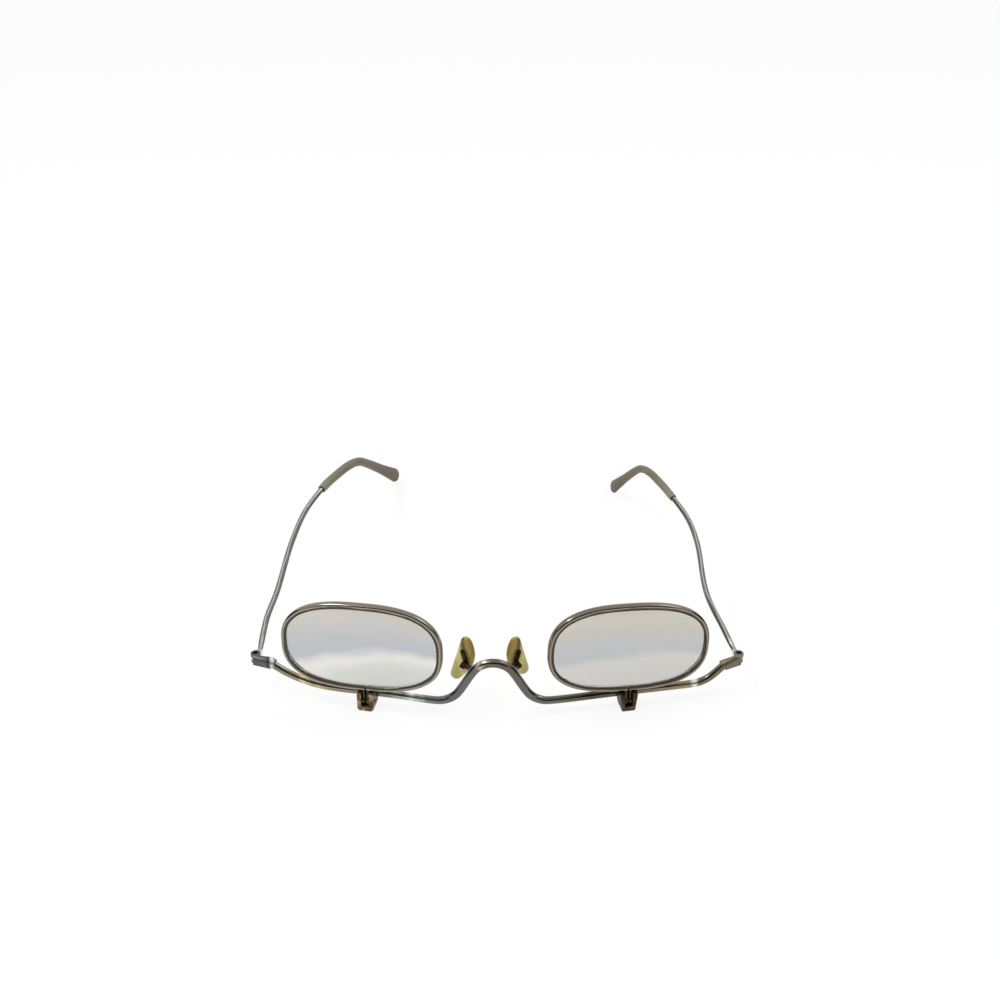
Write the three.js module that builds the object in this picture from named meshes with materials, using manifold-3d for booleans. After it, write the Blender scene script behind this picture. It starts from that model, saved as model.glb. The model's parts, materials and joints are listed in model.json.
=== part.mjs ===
// Makeup glasses: a bent front wire carries two framed lenses, each on its own hinge under the lens.
// Millimetres, +Z up, the front faces -Y, the table is at the bottom of the flip brackets.
// Every piece is shaped as the one on +X and mirrored for the other side.
import * as THREE from 'three';
import { mergeVertices } from 'three/addons/utils/BufferGeometryUtils.js';
import Module from 'manifold-3d';

const wasm = await Module();
wasm.setup();

// Fits
const BRAZE_GAP = 0.12;
const RUN_GAP = 0.06;
const SIDE_GAP = 0.1;

// Front wire
const WIRE_RADIUS = 1.07;
const HINGE_X = 35.2;
const LENS_YAW = 11;
const BAR_BEHIND = 2.6;
const BAR_HEIGHT = 3.5;
const BRIDGE_RISE = 12.05;
const CROWN_RADIUS = 6.4;
const FOOT_RADIUS = 6.6;
const FLANK_TURN = 59;
const NOSE_OFFSET = -1.1;
const END_REACH = 27.6;
const LEFT_RISE = { height: 5.8, radius: 32, turn: 34 };
const RIGHT_RISE = { height: 4.8, radius: 9, turn: 43 };

// Lens and rim, measured at the visible opening
const LENS_HALF_WIDTH = 20.6;
const LENS_HALF_HEIGHT = 11.5;
const LENS_SQUARENESS = 2.67;
const LENS_LEAN = 4;
const LEFT_LENS = { shift: 1, droop: 1.2 };
const RIGHT_LENS = { shift: 0, droop: 3.2 };
const LENS_EDGE = 1.1;
const FRONT_CROWN = 1.7;
const BACK_CROWN = 0.25;
const BEVEL_REACH = 0.5;
const GROOVE_DEPTH = 0.75;
const GROOVE_WIDTH = 1.7;
const RIM_WALL = 1.5;
const RIM_DEPTH = 2.3;
const RIM_CORNER = 0.6;
const RIM_TO_PIN = 3.14;
const RIM_SPLIT = 0.45;

// Flip hinge
const PIN_HEIGHT = 2.7;
const PIN_RADIUS = 0.6;
const LEAF_THICK = 0.75;
const LEAF_RADIUS = 1.25;
const LEAF_HALF_WIDTH = 0.75;
const PEEN_RADIUS = 0.7;
const PEEN_DEPTH = 0.5;
const BLOCK_TOP_WIDTH = 5.3;
const BLOCK_FOOT_WIDTH = 3.6;
const BLOCK_FRONT = 1.6;
const BLOCK_BACK = 3.3;
const BLOCK_ROUND = 0.5;
const BLOCK_HEEL = 1;

// Temple hinge
const BARREL_OUT = 4.4;
const BARREL_BACK = 2.4;
const BARREL_RISE = 6.05;
const BARREL_RADIUS = 1.35;
const KNUCKLE_MIDDLE = 1.3;
const KNUCKLE_OUTER = 0.65;
const SCREW_RADIUS = 0.55;
const SCREW_HEAD_RADIUS = 0.76;
const SCREW_HEAD = 0.25;
const SCREW_SUNK = 0.2;
const SCREW_SLOT = 0.22;
const SOCKET_RADIUS = 1.5;
const SOCKET_LENGTH = 1.2;
const SOCKET_FLOOR = 0.6;
const ROOT_FRONT = 2.3;
const ROOT_REAR = 1.4;
const ROOT_LIFT = 0.2;
const ROOT_SHY = 0.9;
const SHOULDER_REACH = 1;
const SHOULDER_FRONT = 1.9;
const NOTCH_REACH = 3.4;
const NOTCH_FRONT = 1.7;

// Temples: reach back from the hinge, then [back, inset] along the arm as shares of the reach
const TEMPLE_RADIUS = 0.85;
const TEMPLE_SLOPE = 0.201;
const TEMPLE_NECK = 2.6;
const TAB_LENGTH = 3;
const EAR_BEND = 9;
const TIP_END_HEIGHT = 1.26;
const TIP_WALL = 0.42;
const CORE_SHORT = 7;
const LEFT_TEMPLE = {
  reach: 125.4,
  tip: 62,
  stations: [[0.1164, 0.0081], [0.2041, 0.0200], [0.3748, 0.0336], [0.4944, 0.0551], [0.5901, 0.0934]],
  ear: [0.6954, 0.1580],
  end: [1, 0.2401],
};
const RIGHT_TEMPLE = {
  reach: 116.1,
  tip: 58,
  stations: [[0.0913, 0.0232], [0.2119, 0.0490], [0.4048, 0.0516], [0.4996, 0.0662], [0.6029, 0.1050]],
  ear: [0.7235, 0.1618],
  end: [1, 0.2230],
};

// Nose pads
const PAD_CENTRE = [6.9, 5.6, 12.25];
const PAD_OFFSET = -1.7;
const PAD_SPLAY = 64;
const PAD_TILT = 15.5;
const PAD_THICK = 2;
const PAD_ROUND = 0.6;
const MOUNT_RADIUS = 0.65;
const MOUNT_LENGTH = 6;
const MOUNT_TURN = 35;
const MOUNT_AT = [-0.4, 0.3];
const BOX_AT = [-0.9, -0.5];
const MOUNT_THICK = 0.35;
const TONGUE_WIDTH = 1.5;
const TONGUE_THICK = 0.8;
const PAD_PIN_RADIUS = 0.32;
const PAD_PIN_OUT = 1.15;
const BOX_CHEEK = 0.45;
const BOX_CLEAR = 0.35;
const ARM_RADIUS = 0.5;
const ARM_TURN = 55;
const ARM_LEAD = [0.15, 0.9, -0.4];
// The pad is a skin over three discs: across, along, radius
const PAD_LOBES = [[1.1, 4.8, 1.6], [-0.4, 1.2, 2.2], [0.9, -4.8, 1.7]];

const OUTLINE_STEPS = 48;
const ROD_SIDES = 16;
const TUBE_SIDES = 10;
const ALONG_X = [0, 0, 90];
const ALONG_Y = [0, 0, 0];
const ALONG_Z = [90, 0, 0];

const rad = THREE.MathUtils.degToRad;
const vec = (x, y, z) => new THREE.Vector3(x, y, z);

function solid(geometry) {
  geometry.deleteAttribute('normal');
  geometry.deleteAttribute('uv');
  const merged = mergeVertices(geometry, 1e-4);
  const corners = merged.index.array;
  const triVerts = [];
  for (let i = 0; i < corners.length; i += 3) {
    const [a, b, c] = [corners[i], corners[i + 1], corners[i + 2]];
    if (a !== b && b !== c && c !== a) triVerts.push(a, b, c);
  }
  const vertProperties = new Float32Array(merged.attributes.position.array);
  const mesh = new wasm.Mesh({ numProp: 3, vertProperties, triVerts: new Uint32Array(triVerts) });
  return new wasm.Manifold(mesh);
}

function box(width, depth, height, centre) {
  return solid(new THREE.BoxGeometry(width, depth, height)).translate(centre);
}

function rod(radius, length, along, centre) {
  const round = solid(new THREE.CylinderGeometry(radius, radius, length, ROD_SIDES));
  return round.rotate(along).translate(centre);
}

function prism(points, depth) {
  const shape = new THREE.Shape(points.map(([x, y]) => new THREE.Vector2(x, y)));
  return solid(new THREE.ExtrudeGeometry(shape, { depth, bevelEnabled: false }));
}

// A round wire along a curve, with closed ends
function tube(curve, radius, steps) {
  const ring = [];
  for (let i = 0; i < TUBE_SIDES; i++) {
    const angle = (i / TUBE_SIDES) * Math.PI * 2;
    ring.push(new THREE.Vector2(radius * Math.cos(angle), radius * Math.sin(angle)));
  }
  return solid(new THREE.ExtrudeGeometry(new THREE.Shape(ring), { steps, extrudePath: curve }));
}

// Skin over a row of rings; an open row is capped at both ends
function loft(rings, closed) {
  const count = rings[0].length;
  const points = rings.flat();
  const index = [];
  const rows = closed ? rings.length : rings.length - 1;
  for (let row = 0; row < rows; row++) {
    for (let i = 0; i < count; i++) {
      const a = row * count + i;
      const b = row * count + ((i + 1) % count);
      const c = ((row + 1) % rings.length) * count + i;
      const d = ((row + 1) % rings.length) * count + ((i + 1) % count);
      index.push(a, b, c, b, d, c);
    }
  }
  if (!closed) {
    const last = (rings.length - 1) * count;
    for (let i = 1; i < count - 1; i++) {
      index.push(0, i + 1, i);
      index.push(last, last + i, last + i + 1);
    }
  }
  const geometry = new THREE.BufferGeometry().setFromPoints(points);
  geometry.setIndex(index);
  return solid(geometry);
}

// Frame of a flip hinge: X along the pin, Y back, Z up, origin in the pin
function toHinge(shape) {
  return shape.rotate([0, 0, LENS_YAW]).translate([HINGE_X, 0, PIN_HEIGHT]);
}

function hingePoint(x, y, z) {
  return vec(x, y, z).applyAxisAngle(vec(0, 0, 1), rad(LENS_YAW)).add(vec(HINGE_X, 0, PIN_HEIGHT));
}

function archRun() {
  const turn = rad(FLANK_TURN);
  const drop = BRIDGE_RISE - (CROWN_RADIUS + FOOT_RADIUS) * (1 - Math.cos(turn));
  return (CROWN_RADIUS + FOOT_RADIUS) * Math.sin(turn) + drop / Math.tan(turn);
}

function archTop() {
  return BAR_HEIGHT + BRIDGE_RISE;
}

function archY() {
  return BAR_BEHIND * Math.cos(rad(LENS_YAW)) - (HINGE_X - archRun()) * Math.tan(rad(LENS_YAW));
}

function archPoints() {
  const points = [];
  const y = archY();
  for (let i = 0; i <= 4; i++) {
    const a = rad(FLANK_TURN) * (i / 4);
    const drop = CROWN_RADIUS * (1 - Math.cos(a));
    points.push(vec(CROWN_RADIUS * Math.sin(a), y, archTop() - drop));
  }
  for (let i = 4; i >= 0; i--) {
    const a = rad(FLANK_TURN) * (i / 4);
    const foot = BAR_HEIGHT + FOOT_RADIUS;
    points.push(vec(archRun() - FOOT_RADIUS * Math.sin(a), y, foot - FOOT_RADIUS * Math.cos(a)));
  }
  return points;
}

// The wire past the hinge: an arc up off the bar, then straight to the end piece
function barPoints(rise) {
  const bar = BAR_HEIGHT - PIN_HEIGHT;
  const straight = riseRun(rise);
  const start = END_REACH - rise.radius * Math.sin(rad(rise.turn)) - straight * Math.cos(rad(rise.turn));
  const points = [-BLOCK_TOP_WIDTH, 0, BLOCK_TOP_WIDTH / 2].map((x) => hingePoint(x, BAR_BEHIND, bar));
  for (let i = 0; i <= 4; i++) {
    const a = rad(rise.turn) * (i / 4);
    const lift = rise.radius * (1 - Math.cos(a));
    points.push(hingePoint(start + rise.radius * Math.sin(a), BAR_BEHIND, bar + lift));
  }
  return points.concat([wireEnd(rise, straight / 2), wireEnd(rise, 0)]);
}

function riseRun(rise) {
  return (rise.height - rise.radius * (1 - Math.cos(rad(rise.turn)))) / Math.sin(rad(rise.turn));
}

// A point of the straight rising end of the wire, by its distance before the end
function wireEnd(rise, before) {
  const a = rad(rise.turn);
  const z = BAR_HEIGHT - PIN_HEIGHT + rise.height - before * Math.sin(a);
  return hingePoint(END_REACH - before * Math.cos(a), BAR_BEHIND, z);
}

function frontWire() {
  const flip = (p) => vec(-p.x, p.y, p.z);
  const arch = archPoints();
  const bridge = arch.slice(1).reverse().map(flip).concat(arch);
  bridge.forEach((p) => p.add(vec(NOSE_OFFSET, 0, 0)));
  const left = barPoints(LEFT_RISE).reverse().map(flip);
  const path = [...left, ...bridge, ...barPoints(RIGHT_RISE)];
  return tube(new THREE.CatmullRomCurve3(path), WIRE_RADIUS, 96);
}

// Lens outline, moved out by grow along its own normal
function outline(grow) {
  const points = [];
  const root = 2 / LENS_SQUARENESS;
  for (let i = 0; i < OUTLINE_STEPS; i++) {
    const t = ((i + 0.5) / OUTLINE_STEPS) * Math.PI * 2;
    const [c, s] = [Math.cos(t), Math.sin(t)];
    const x = LENS_HALF_WIDTH * Math.sign(c) * Math.abs(c) ** root;
    const z = LENS_HALF_HEIGHT * Math.sign(s) * Math.abs(s) ** root;
    const nx = (Math.sign(c) * Math.abs(c) ** (2 - root)) / LENS_HALF_WIDTH;
    const nz = (Math.sign(s) * Math.abs(s) ** (2 - root)) / LENS_HALF_HEIGHT;
    const scale = grow / Math.hypot(nx, nz);
    points.push([x + nx * scale, z + nz * scale]);
  }
  return points;
}

// Height of the lens middle over the pin
const LENS_RISE = RIM_TO_PIN + RIM_WALL + LENS_HALF_HEIGHT;

function lensRing(grow, share, y) {
  return outline(grow).map(([x, z]) => vec(x * share, y, z * share));
}

// A drooping lens-shaped piece in the hinge frame, moved sideways off its leaves
function overPin(shape, side) {
  return shape.rotate([0, side.droop, 0]).translate([side.shift, 0, LENS_RISE]);
}

function toLens(shape) {
  return toHinge(shape.rotate([-LENS_LEAN, 0, 0]));
}

function lens(side) {
  const half = LENS_EDGE / 2;
  const flat = SIDE_GAP;
  const back = [0.05, 0.6].map((k) => lensRing(-flat, k, half + BACK_CROWN * (1 - k * k)));
  const front = [0.9, 0.7, 0.4, 0.05].map((k) => lensRing(-flat, k, -half - FRONT_CROWN * (1 - k * k)));
  const edge = [[-flat, half], [BEVEL_REACH, flat], [BEVEL_REACH, -flat], [-flat, -half]];
  const bevel = edge.map(([grow, y]) => lensRing(grow, 1, y));
  return toLens(overPin(loft([...back, ...bevel, ...front], false), side));
}

function leaf(hand) {
  const heel = LEAF_RADIUS - SIDE_GAP;
  const depth = LEAF_HALF_WIDTH + heel;
  const height = RIM_TO_PIN + RIM_CORNER;
  const strip = box(LEAF_THICK, depth, height, [0, depth / 2 - LEAF_HALF_WIDTH, height / 2]);
  const eye = rod(LEAF_RADIUS, LEAF_THICK, ALONG_X, [0, 0, 0]);
  return strip.add(eye).translate([hand * (RIM_SPLIT + LEAF_THICK) / 2, 0, 0]);
}

function rim(side) {
  const deep = RIM_DEPTH / 2;
  const groove = GROOVE_WIDTH / 2;
  const section = [
    [0, -deep], [RIM_WALL - RIM_CORNER, -deep], [RIM_WALL, RIM_CORNER - deep], [RIM_WALL, deep - RIM_CORNER],
    [RIM_WALL - RIM_CORNER, deep], [0, deep], [0, groove], [GROOVE_DEPTH, 0], [0, -groove],
  ];
  const rows = section.map(([grow, y]) => lensRing(grow, 1, y));
  const rings = rows[0].map((_, i) => rows.map((row) => row[i]));
  const split = box(RIM_SPLIT, RIM_DEPTH * 2, RIM_TO_PIN + RIM_WALL * 2, [0, 0, RIM_TO_PIN / 2 + RIM_WALL]);
  const bore = rod(PIN_RADIUS + RUN_GAP, BLOCK_TOP_WIDTH, ALONG_X, [0, 0, 0]);
  const peen = rod(PEEN_RADIUS, PEEN_DEPTH * 2, ALONG_Y, [0, -LEAF_RADIUS, 0]);
  const eyewire = overPin(loft(rings, true), side).subtract(split);
  return toLens(eyewire.add(leaf(-1)).add(leaf(1)).subtract(bore).subtract(peen));
}

// Front outline of the flip bracket, from its foot on the table to its top
function blockFront(top) {
  const foot = BLOCK_FOOT_WIDTH / 2;
  const head = BLOCK_TOP_WIDTH / 2;
  const r = BLOCK_ROUND;
  const cut = r * (1 - Math.SQRT1_2);
  const right = [
    [foot - r, -PIN_HEIGHT], [foot - cut, cut - PIN_HEIGHT], [foot, r - PIN_HEIGHT], [head, top],
  ];
  return right.concat(right.map(([x, z]) => [-x, z]).reverse());
}

function flipBracket() {
  const clear = RIM_TO_PIN - SIDE_GAP * 3;
  const top = Math.sqrt(clear * clear - (BLOCK_FRONT / 2) ** 2);
  const shoulder = Math.sqrt(clear * clear - BLOCK_FRONT ** 2);
  const side = [
    [-BLOCK_FRONT, -PIN_HEIGHT], [BLOCK_BACK - BLOCK_HEEL, -PIN_HEIGHT],
    [BLOCK_BACK, BLOCK_HEEL - PIN_HEIGHT], [BLOCK_BACK, BAR_HEIGHT - PIN_HEIGHT],
    [BAR_BEHIND - WIRE_RADIUS, top], [-BLOCK_FRONT / 2, top], [-BLOCK_FRONT, shoulder],
  ];
  const front = prism(blockFront(top), BLOCK_FRONT + BLOCK_BACK).rotate([90, 0, 0]);
  const width = BLOCK_TOP_WIDTH * 2;
  const profile = prism(side, width).rotate([90, 0, 90]).translate([-width / 2, 0, 0]);
  const saddle = rod(WIRE_RADIUS + BRAZE_GAP, width, ALONG_X, [0, BAR_BEHIND, BAR_HEIGHT - PIN_HEIGHT]);
  const slotWidth = RIM_SPLIT + 2 * LEAF_THICK + 2 * SIDE_GAP;
  const slotBack = LEAF_RADIUS + SIDE_GAP;
  const slotHeight = RIM_TO_PIN + slotBack;
  const slotCentre = [0, slotBack / 2 - BLOCK_FRONT, slotHeight / 2 - slotBack];
  const slot = box(slotWidth, BLOCK_FRONT * 2 + slotBack, slotHeight, slotCentre);
  const bore = rod(PIN_RADIUS + RUN_GAP, width, ALONG_X, [0, 0, 0]);
  const block = front.translate([0, BLOCK_BACK, 0]).intersect(profile);
  return toHinge(block.subtract(saddle).subtract(slot).subtract(bore));
}

function flipPin() {
  return toHinge(rod(PIN_RADIUS, BLOCK_TOP_WIDTH - SIDE_GAP * 2, ALONG_X, [0, 0, 0]));
}

// Middle of the temple hinge, set off from the end of the wire
function barrelPoint() {
  const end = hingePoint(END_REACH, BAR_BEHIND, BAR_HEIGHT - PIN_HEIGHT + BARREL_RISE);
  return end.add(vec(BARREL_OUT, BARREL_BACK, 0));
}

function toBarrel(shape) {
  return shape.translate(barrelPoint().toArray());
}

const STACK = KNUCKLE_MIDDLE + 2 * KNUCKLE_OUTER + 2 * RUN_GAP;

// A lug drawn from the socket on the wire to the root of two knuckles
function endPiece(rise) {
  const r = BARREL_RADIUS;
  const mouth = new THREE.LineCurve3(wireEnd(rise, SOCKET_LENGTH), wireEnd(rise, -SOCKET_FLOOR));
  const depth = ROOT_FRONT - ROOT_REAR;
  const face = r * 2 - ROOT_SHY;
  const root = box(face, depth, STACK - ROOT_LIFT, [-ROOT_SHY / 2, -ROOT_REAR - depth / 2, ROOT_LIFT / 2]);
  const lug = wasm.Manifold.hull([tube(mouth, SOCKET_RADIUS, 1), toBarrel(root)]);
  const width = r - ROOT_SHY + SHOULDER_REACH;
  const middle = (r - ROOT_SHY - SHOULDER_REACH) / 2;
  const shoulder = box(width, SHOULDER_FRONT, STACK, [middle, -SHOULDER_FRONT / 2, 0]);
  const barrel = rod(r, STACK, ALONG_Z, [0, 0, 0]);
  const drill = new THREE.LineCurve3(wireEnd(rise, SOCKET_LENGTH * 2), wireEnd(rise, -BRAZE_GAP));
  const bore = tube(drill, WIRE_RADIUS + BRAZE_GAP, 1);
  const gap = KNUCKLE_MIDDLE + 2 * RUN_GAP;
  const notch = box(NOTCH_REACH, NOTCH_FRONT * 2, gap, [-NOTCH_REACH / 2, 0, 0]);
  const slot = rod(r + SIDE_GAP * 2, gap, ALONG_Z, [0, 0, 0]).add(notch);
  const hole = rod(SCREW_RADIUS + RUN_GAP, STACK * 2, ALONG_Z, [0, 0, 0]);
  const sunk = SCREW_HEAD + SCREW_SUNK;
  const recess = rod(SCREW_HEAD_RADIUS + RUN_GAP, sunk * 2, ALONG_Z, [0, 0, STACK / 2]);
  const block = lug.add(toBarrel(shoulder.add(barrel)));
  return block.subtract(bore).subtract(toBarrel(slot.add(hole).add(recess)));
}

function hingeScrew() {
  const top = STACK / 2 - SCREW_SUNK;
  const length = top + STACK / 2;
  const shank = rod(SCREW_RADIUS, length, ALONG_Z, [0, 0, top - length / 2]);
  const lift = RUN_GAP;
  const head = rod(SCREW_HEAD_RADIUS, SCREW_HEAD - lift, ALONG_Z, [0, 0, top - (SCREW_HEAD - lift) / 2]);
  const slot = box(SCREW_HEAD_RADIUS * 3, SCREW_SLOT, SCREW_HEAD, [0, 0, top + SCREW_HEAD * 0.1]);
  return toBarrel(shank.add(head).subtract(slot));
}

// Corner of the arm at the ear, rounded over a length on both sides
function earBend(from, corner, to) {
  const into = corner.clone().addScaledVector(from.clone().sub(corner).normalize(), EAR_BEND);
  const out = corner.clone().addScaledVector(to.clone().sub(corner).normalize(), EAR_BEND);
  const bend = new THREE.QuadraticBezierCurve3(into, corner, out);
  return bend.getPoints(4);
}

function templeCurve(side) {
  const onArm = ([back, inset]) => vec(-inset, back, back * TEMPLE_SLOPE).multiplyScalar(side.reach);
  const corner = onArm(side.ear);
  const end = onArm(side.end).setZ(TIP_END_HEIGHT - barrelPoint().z);
  const arm = side.stations.map(onArm);
  const bend = earBend(arm[arm.length - 1], corner, end);
  const neck = [vec(-BARREL_RADIUS / 2, BARREL_RADIUS, 0), vec(-BARREL_RADIUS / 2, TEMPLE_NECK, 0)];
  return new THREE.CatmullRomCurve3([...neck, ...arm, ...bend, end]);
}

// The stretch of a curve between two distances from its end
function stretch(curve, from, to, count) {
  const length = curve.getLength();
  const points = [];
  for (let i = 0; i <= count; i++) {
    const left = from + ((to - from) * i) / count;
    points.push(curve.getPointAt(Math.min(1, Math.max(0, 1 - left / length))));
  }
  return new THREE.CatmullRomCurve3(points);
}

function temple(side) {
  const curve = templeCurve(side);
  const start = curve.getLength() - BARREL_RADIUS / 2;
  const wire = tube(stretch(curve, start, CORE_SHORT, 40), TEMPLE_RADIUS, 40);
  const tabWidth = BARREL_RADIUS;
  const tab = box(tabWidth, TAB_LENGTH, KNUCKLE_MIDDLE, [-tabWidth / 2, TAB_LENGTH / 2, 0]);
  const knuckle = rod(BARREL_RADIUS, KNUCKLE_MIDDLE, ALONG_Z, [0, 0, 0]);
  const hole = rod(SCREW_RADIUS + RUN_GAP, STACK, ALONG_Z, [0, 0, 0]);
  return toBarrel(wire.add(tab).add(knuckle).subtract(hole));
}

// Half width and half height of the tip at shares of its length
const TIP_FORM = [
  [0, 0, 0], [0.03, 0.1, 0.1], [0.2, 0.12, 0.12], [0.45, 0.15, 0.15], [0.7, 0.15, 0.4], [0.87, 0.15, 0.9],
  [0.95, 0, 1.15], [0.99, -0.4, 0.6], [1, -0.9, -0.3],
];

function templeTip(side) {
  const curve = stretch(templeCurve(side), side.tip, 0, 40);
  const base = TEMPLE_RADIUS + TIP_WALL;
  const rings = [];
  for (let row = 0; row < TIP_FORM.length; row++) {
    const [share, wide, high] = TIP_FORM[row];
    const next = TIP_FORM[Math.min(row + 1, TIP_FORM.length - 1)];
    const parts = row > 1 && row < 6 ? 3 : 1;
    for (let k = 0; k < parts; k++) {
      const f = k / parts;
      const at = share + (next[0] - share) * f;
      rings.push(tipRing(curve, at, base + wide + (next[1] - wide) * f, base + high + (next[2] - high) * f));
    }
  }
  const bore = stretch(templeCurve(side), side.tip + TEMPLE_RADIUS, CORE_SHORT - BRAZE_GAP, 28);
  return toBarrel(loft(rings, false).subtract(tube(bore, TEMPLE_RADIUS + BRAZE_GAP, 28)));
}

function tipRing(curve, share, wide, high) {
  const centre = curve.getPointAt(share);
  const along = curve.getTangentAt(share);
  const across = along.clone().cross(vec(0, 0, 1)).normalize();
  const up = across.clone().cross(along);
  const ring = [];
  for (let i = 0; i < 12; i++) {
    const angle = -(i / 12) * Math.PI * 2;
    const point = centre.clone().addScaledVector(across, wide * Math.cos(angle));
    ring.push(point.addScaledVector(up, high * Math.sin(angle)));
  }
  return ring;
}

// Frame of a nose pad: X across the pad, Y along it, Z out of its front face, origin in the pad
function padFrame() {
  const out = vec(Math.cos(rad(PAD_SPLAY)), -Math.sin(rad(PAD_SPLAY)), 0);
  const along = vec(-Math.sin(rad(PAD_TILT)), 0, Math.cos(rad(PAD_TILT)));
  const across = along.clone().cross(out).normalize();
  const face = across.clone().cross(along);
  return new THREE.Matrix4().makeBasis(across, along, face).setPosition(...PAD_CENTRE);
}

function toPad(shape) {
  return shape.transform(padFrame().elements);
}

// Pieces about the pad pin, which is off the middle of the pad
function toBox(shape) {
  return toPad(shape.translate([...BOX_AT, 0]));
}

// A disc with rounded edges, across and along the pad
function disc([across, along, radius]) {
  const r = PAD_ROUND;
  const shape = new THREE.Shape().absarc(across, along, radius - r, 0, Math.PI * 2);
  const bevel = { bevelThickness: r, bevelSize: r, bevelSegments: 2, curveSegments: 10 };
  return solid(new THREE.ExtrudeGeometry(shape, { depth: PAD_THICK - 2 * r, ...bevel }));
}

function nosePad() {
  const body = wasm.Manifold.hull(PAD_LOBES.map(disc));
  return toPad(body.translate([0, 0, PAD_ROUND - PAD_THICK / 2]));
}

// Distance of the pad pin from the middle of the pad
const PIN_OUT = PAD_THICK / 2 + MOUNT_THICK + PAD_PIN_OUT;

function padMount() {
  const thick = MOUNT_THICK - RUN_GAP;
  const level = PAD_THICK / 2 + RUN_GAP + thick / 2;
  const reach = MOUNT_LENGTH / 2 - MOUNT_RADIUS;
  const [across, along] = [reach * Math.sin(rad(MOUNT_TURN)), reach * Math.cos(rad(MOUNT_TURN))];
  const ends = [-1, 1].map((k) => rod(MOUNT_RADIUS, thick, ALONG_Z, [k * across, k * along, level]));
  const foot = wasm.Manifold.hull(ends).translate([MOUNT_AT[0] - BOX_AT[0], MOUNT_AT[1] - BOX_AT[1], 0]);
  const height = PAD_PIN_OUT + MOUNT_THICK / 2;
  const tongue = box(TONGUE_THICK, TONGUE_WIDTH, height, [0, 0, PIN_OUT - height / 2]);
  const eye = rod(TONGUE_WIDTH / 2, TONGUE_THICK, ALONG_X, [0, 0, PIN_OUT]);
  const hole = rod(PAD_PIN_RADIUS + RUN_GAP, TONGUE_THICK * 2, ALONG_X, [0, 0, PIN_OUT]);
  return toBox(foot.add(tongue).add(eye).subtract(hole));
}

const BOX_HALF = TONGUE_THICK / 2 + SIDE_GAP + BOX_CHEEK;
const BOX_TOP = PIN_OUT + TONGUE_WIDTH / 2 + SIDE_GAP + BOX_CHEEK;

// The block the box is cut from, wider all round by grow
function boxBlock(grow) {
  const low = PIN_OUT - PAD_PIN_OUT + BOX_CLEAR;
  const height = BOX_TOP - low;
  const size = [BOX_HALF * 2, TONGUE_WIDTH, height].map((edge) => edge + grow * 2);
  return box(...size, [0, 0, low + height / 2]);
}

function padBox() {
  const inside = boxBlock(0).boundingBox();
  const height = inside.max[2] - inside.min[2];
  const middle = BOX_TOP - BOX_CHEEK - height / 2;
  const room = box(TONGUE_THICK + 2 * SIDE_GAP, TONGUE_WIDTH * 2, height, [0, 0, middle]);
  const hole = rod(PAD_PIN_RADIUS + RUN_GAP, BOX_HALF * 4, ALONG_X, [0, 0, PIN_OUT]);
  return toBox(boxBlock(0).subtract(room).subtract(hole));
}

function padPin() {
  return toBox(rod(PAD_PIN_RADIUS, BOX_HALF * 2 + SIDE_GAP, ALONG_X, [0, 0, PIN_OUT]));
}

// The arm starts on the arch, off the middle of the pads by slip, and is mitred against the box
function padArm(slip) {
  const end = vec(BOX_AT[0] - BOX_HALF / 2, BOX_AT[1], BOX_TOP - ARM_RADIUS).applyMatrix4(padFrame());
  const a = rad(ARM_TURN);
  const back = WIRE_RADIUS + BRAZE_GAP + SIDE_GAP;
  const drop = CROWN_RADIUS * (1 - Math.cos(a));
  const foot = vec(CROWN_RADIUS * Math.sin(a) + slip, archY() + back, archTop() - drop);
  const lead = foot.clone().add(vec(...ARM_LEAD));
  const arm = tube(new THREE.CatmullRomCurve3([foot, lead, end]), ARM_RADIUS, 14);
  return arm.subtract(toBox(boxBlock(BRAZE_GAP)));
}

const FINISH = {
  nickel: { color: 0x8f8c82, roughness: 0.3, metalness: 1 },
  brass: { color: 0x7d6848, roughness: 0.45, metalness: 1 },
  glass: { color: 0xd8dcd8, roughness: 0.05, metalness: 0 },
  acetate: { color: 0xb59a7c, roughness: 0.35, metalness: 0 },
  pad: { color: 0xb3a55a, roughness: 0.3, metalness: 0 },
};

const glasses = new THREE.Group();

function place(name, shape, finish) {
  const made = shape.getMesh();
  const geometry = new THREE.BufferGeometry();
  geometry.setAttribute('position', new THREE.BufferAttribute(new Float32Array(made.vertProperties), 3));
  geometry.setIndex(new THREE.BufferAttribute(new Uint32Array(made.triVerts), 1));
  geometry.computeVertexNormals();
  const mesh = new THREE.Mesh(geometry, new THREE.MeshStandardMaterial(FINISH[finish]));
  mesh.name = name;
  glasses.add(mesh);
}

function placePair(name, right, left, finish) {
  place(`${name}_right`, right, finish);
  place(`${name}_left`, left.mirror([1, 0, 0]), finish);
}

const PAIRS = [
  ['hinge_screw', hingeScrew(), 'nickel'],
  ['flip_bracket', flipBracket(), 'brass'],
  ['flip_pin', flipPin(), 'brass'],
];

// Pieces at the nose, moved sideways together
const SLIP = NOSE_OFFSET - PAD_OFFSET;
const NOSE_PAIRS = [
  ['pad_arm', padArm(SLIP), padArm(-SLIP), 'nickel'],
  ['pad_box', padBox(), padBox(), 'brass'],
  ['pad_pin', padPin(), padPin(), 'brass'],
  ['pad_mount', padMount(), padMount(), 'brass'],
  ['nose_pad', nosePad(), nosePad(), 'pad'],
];

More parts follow.
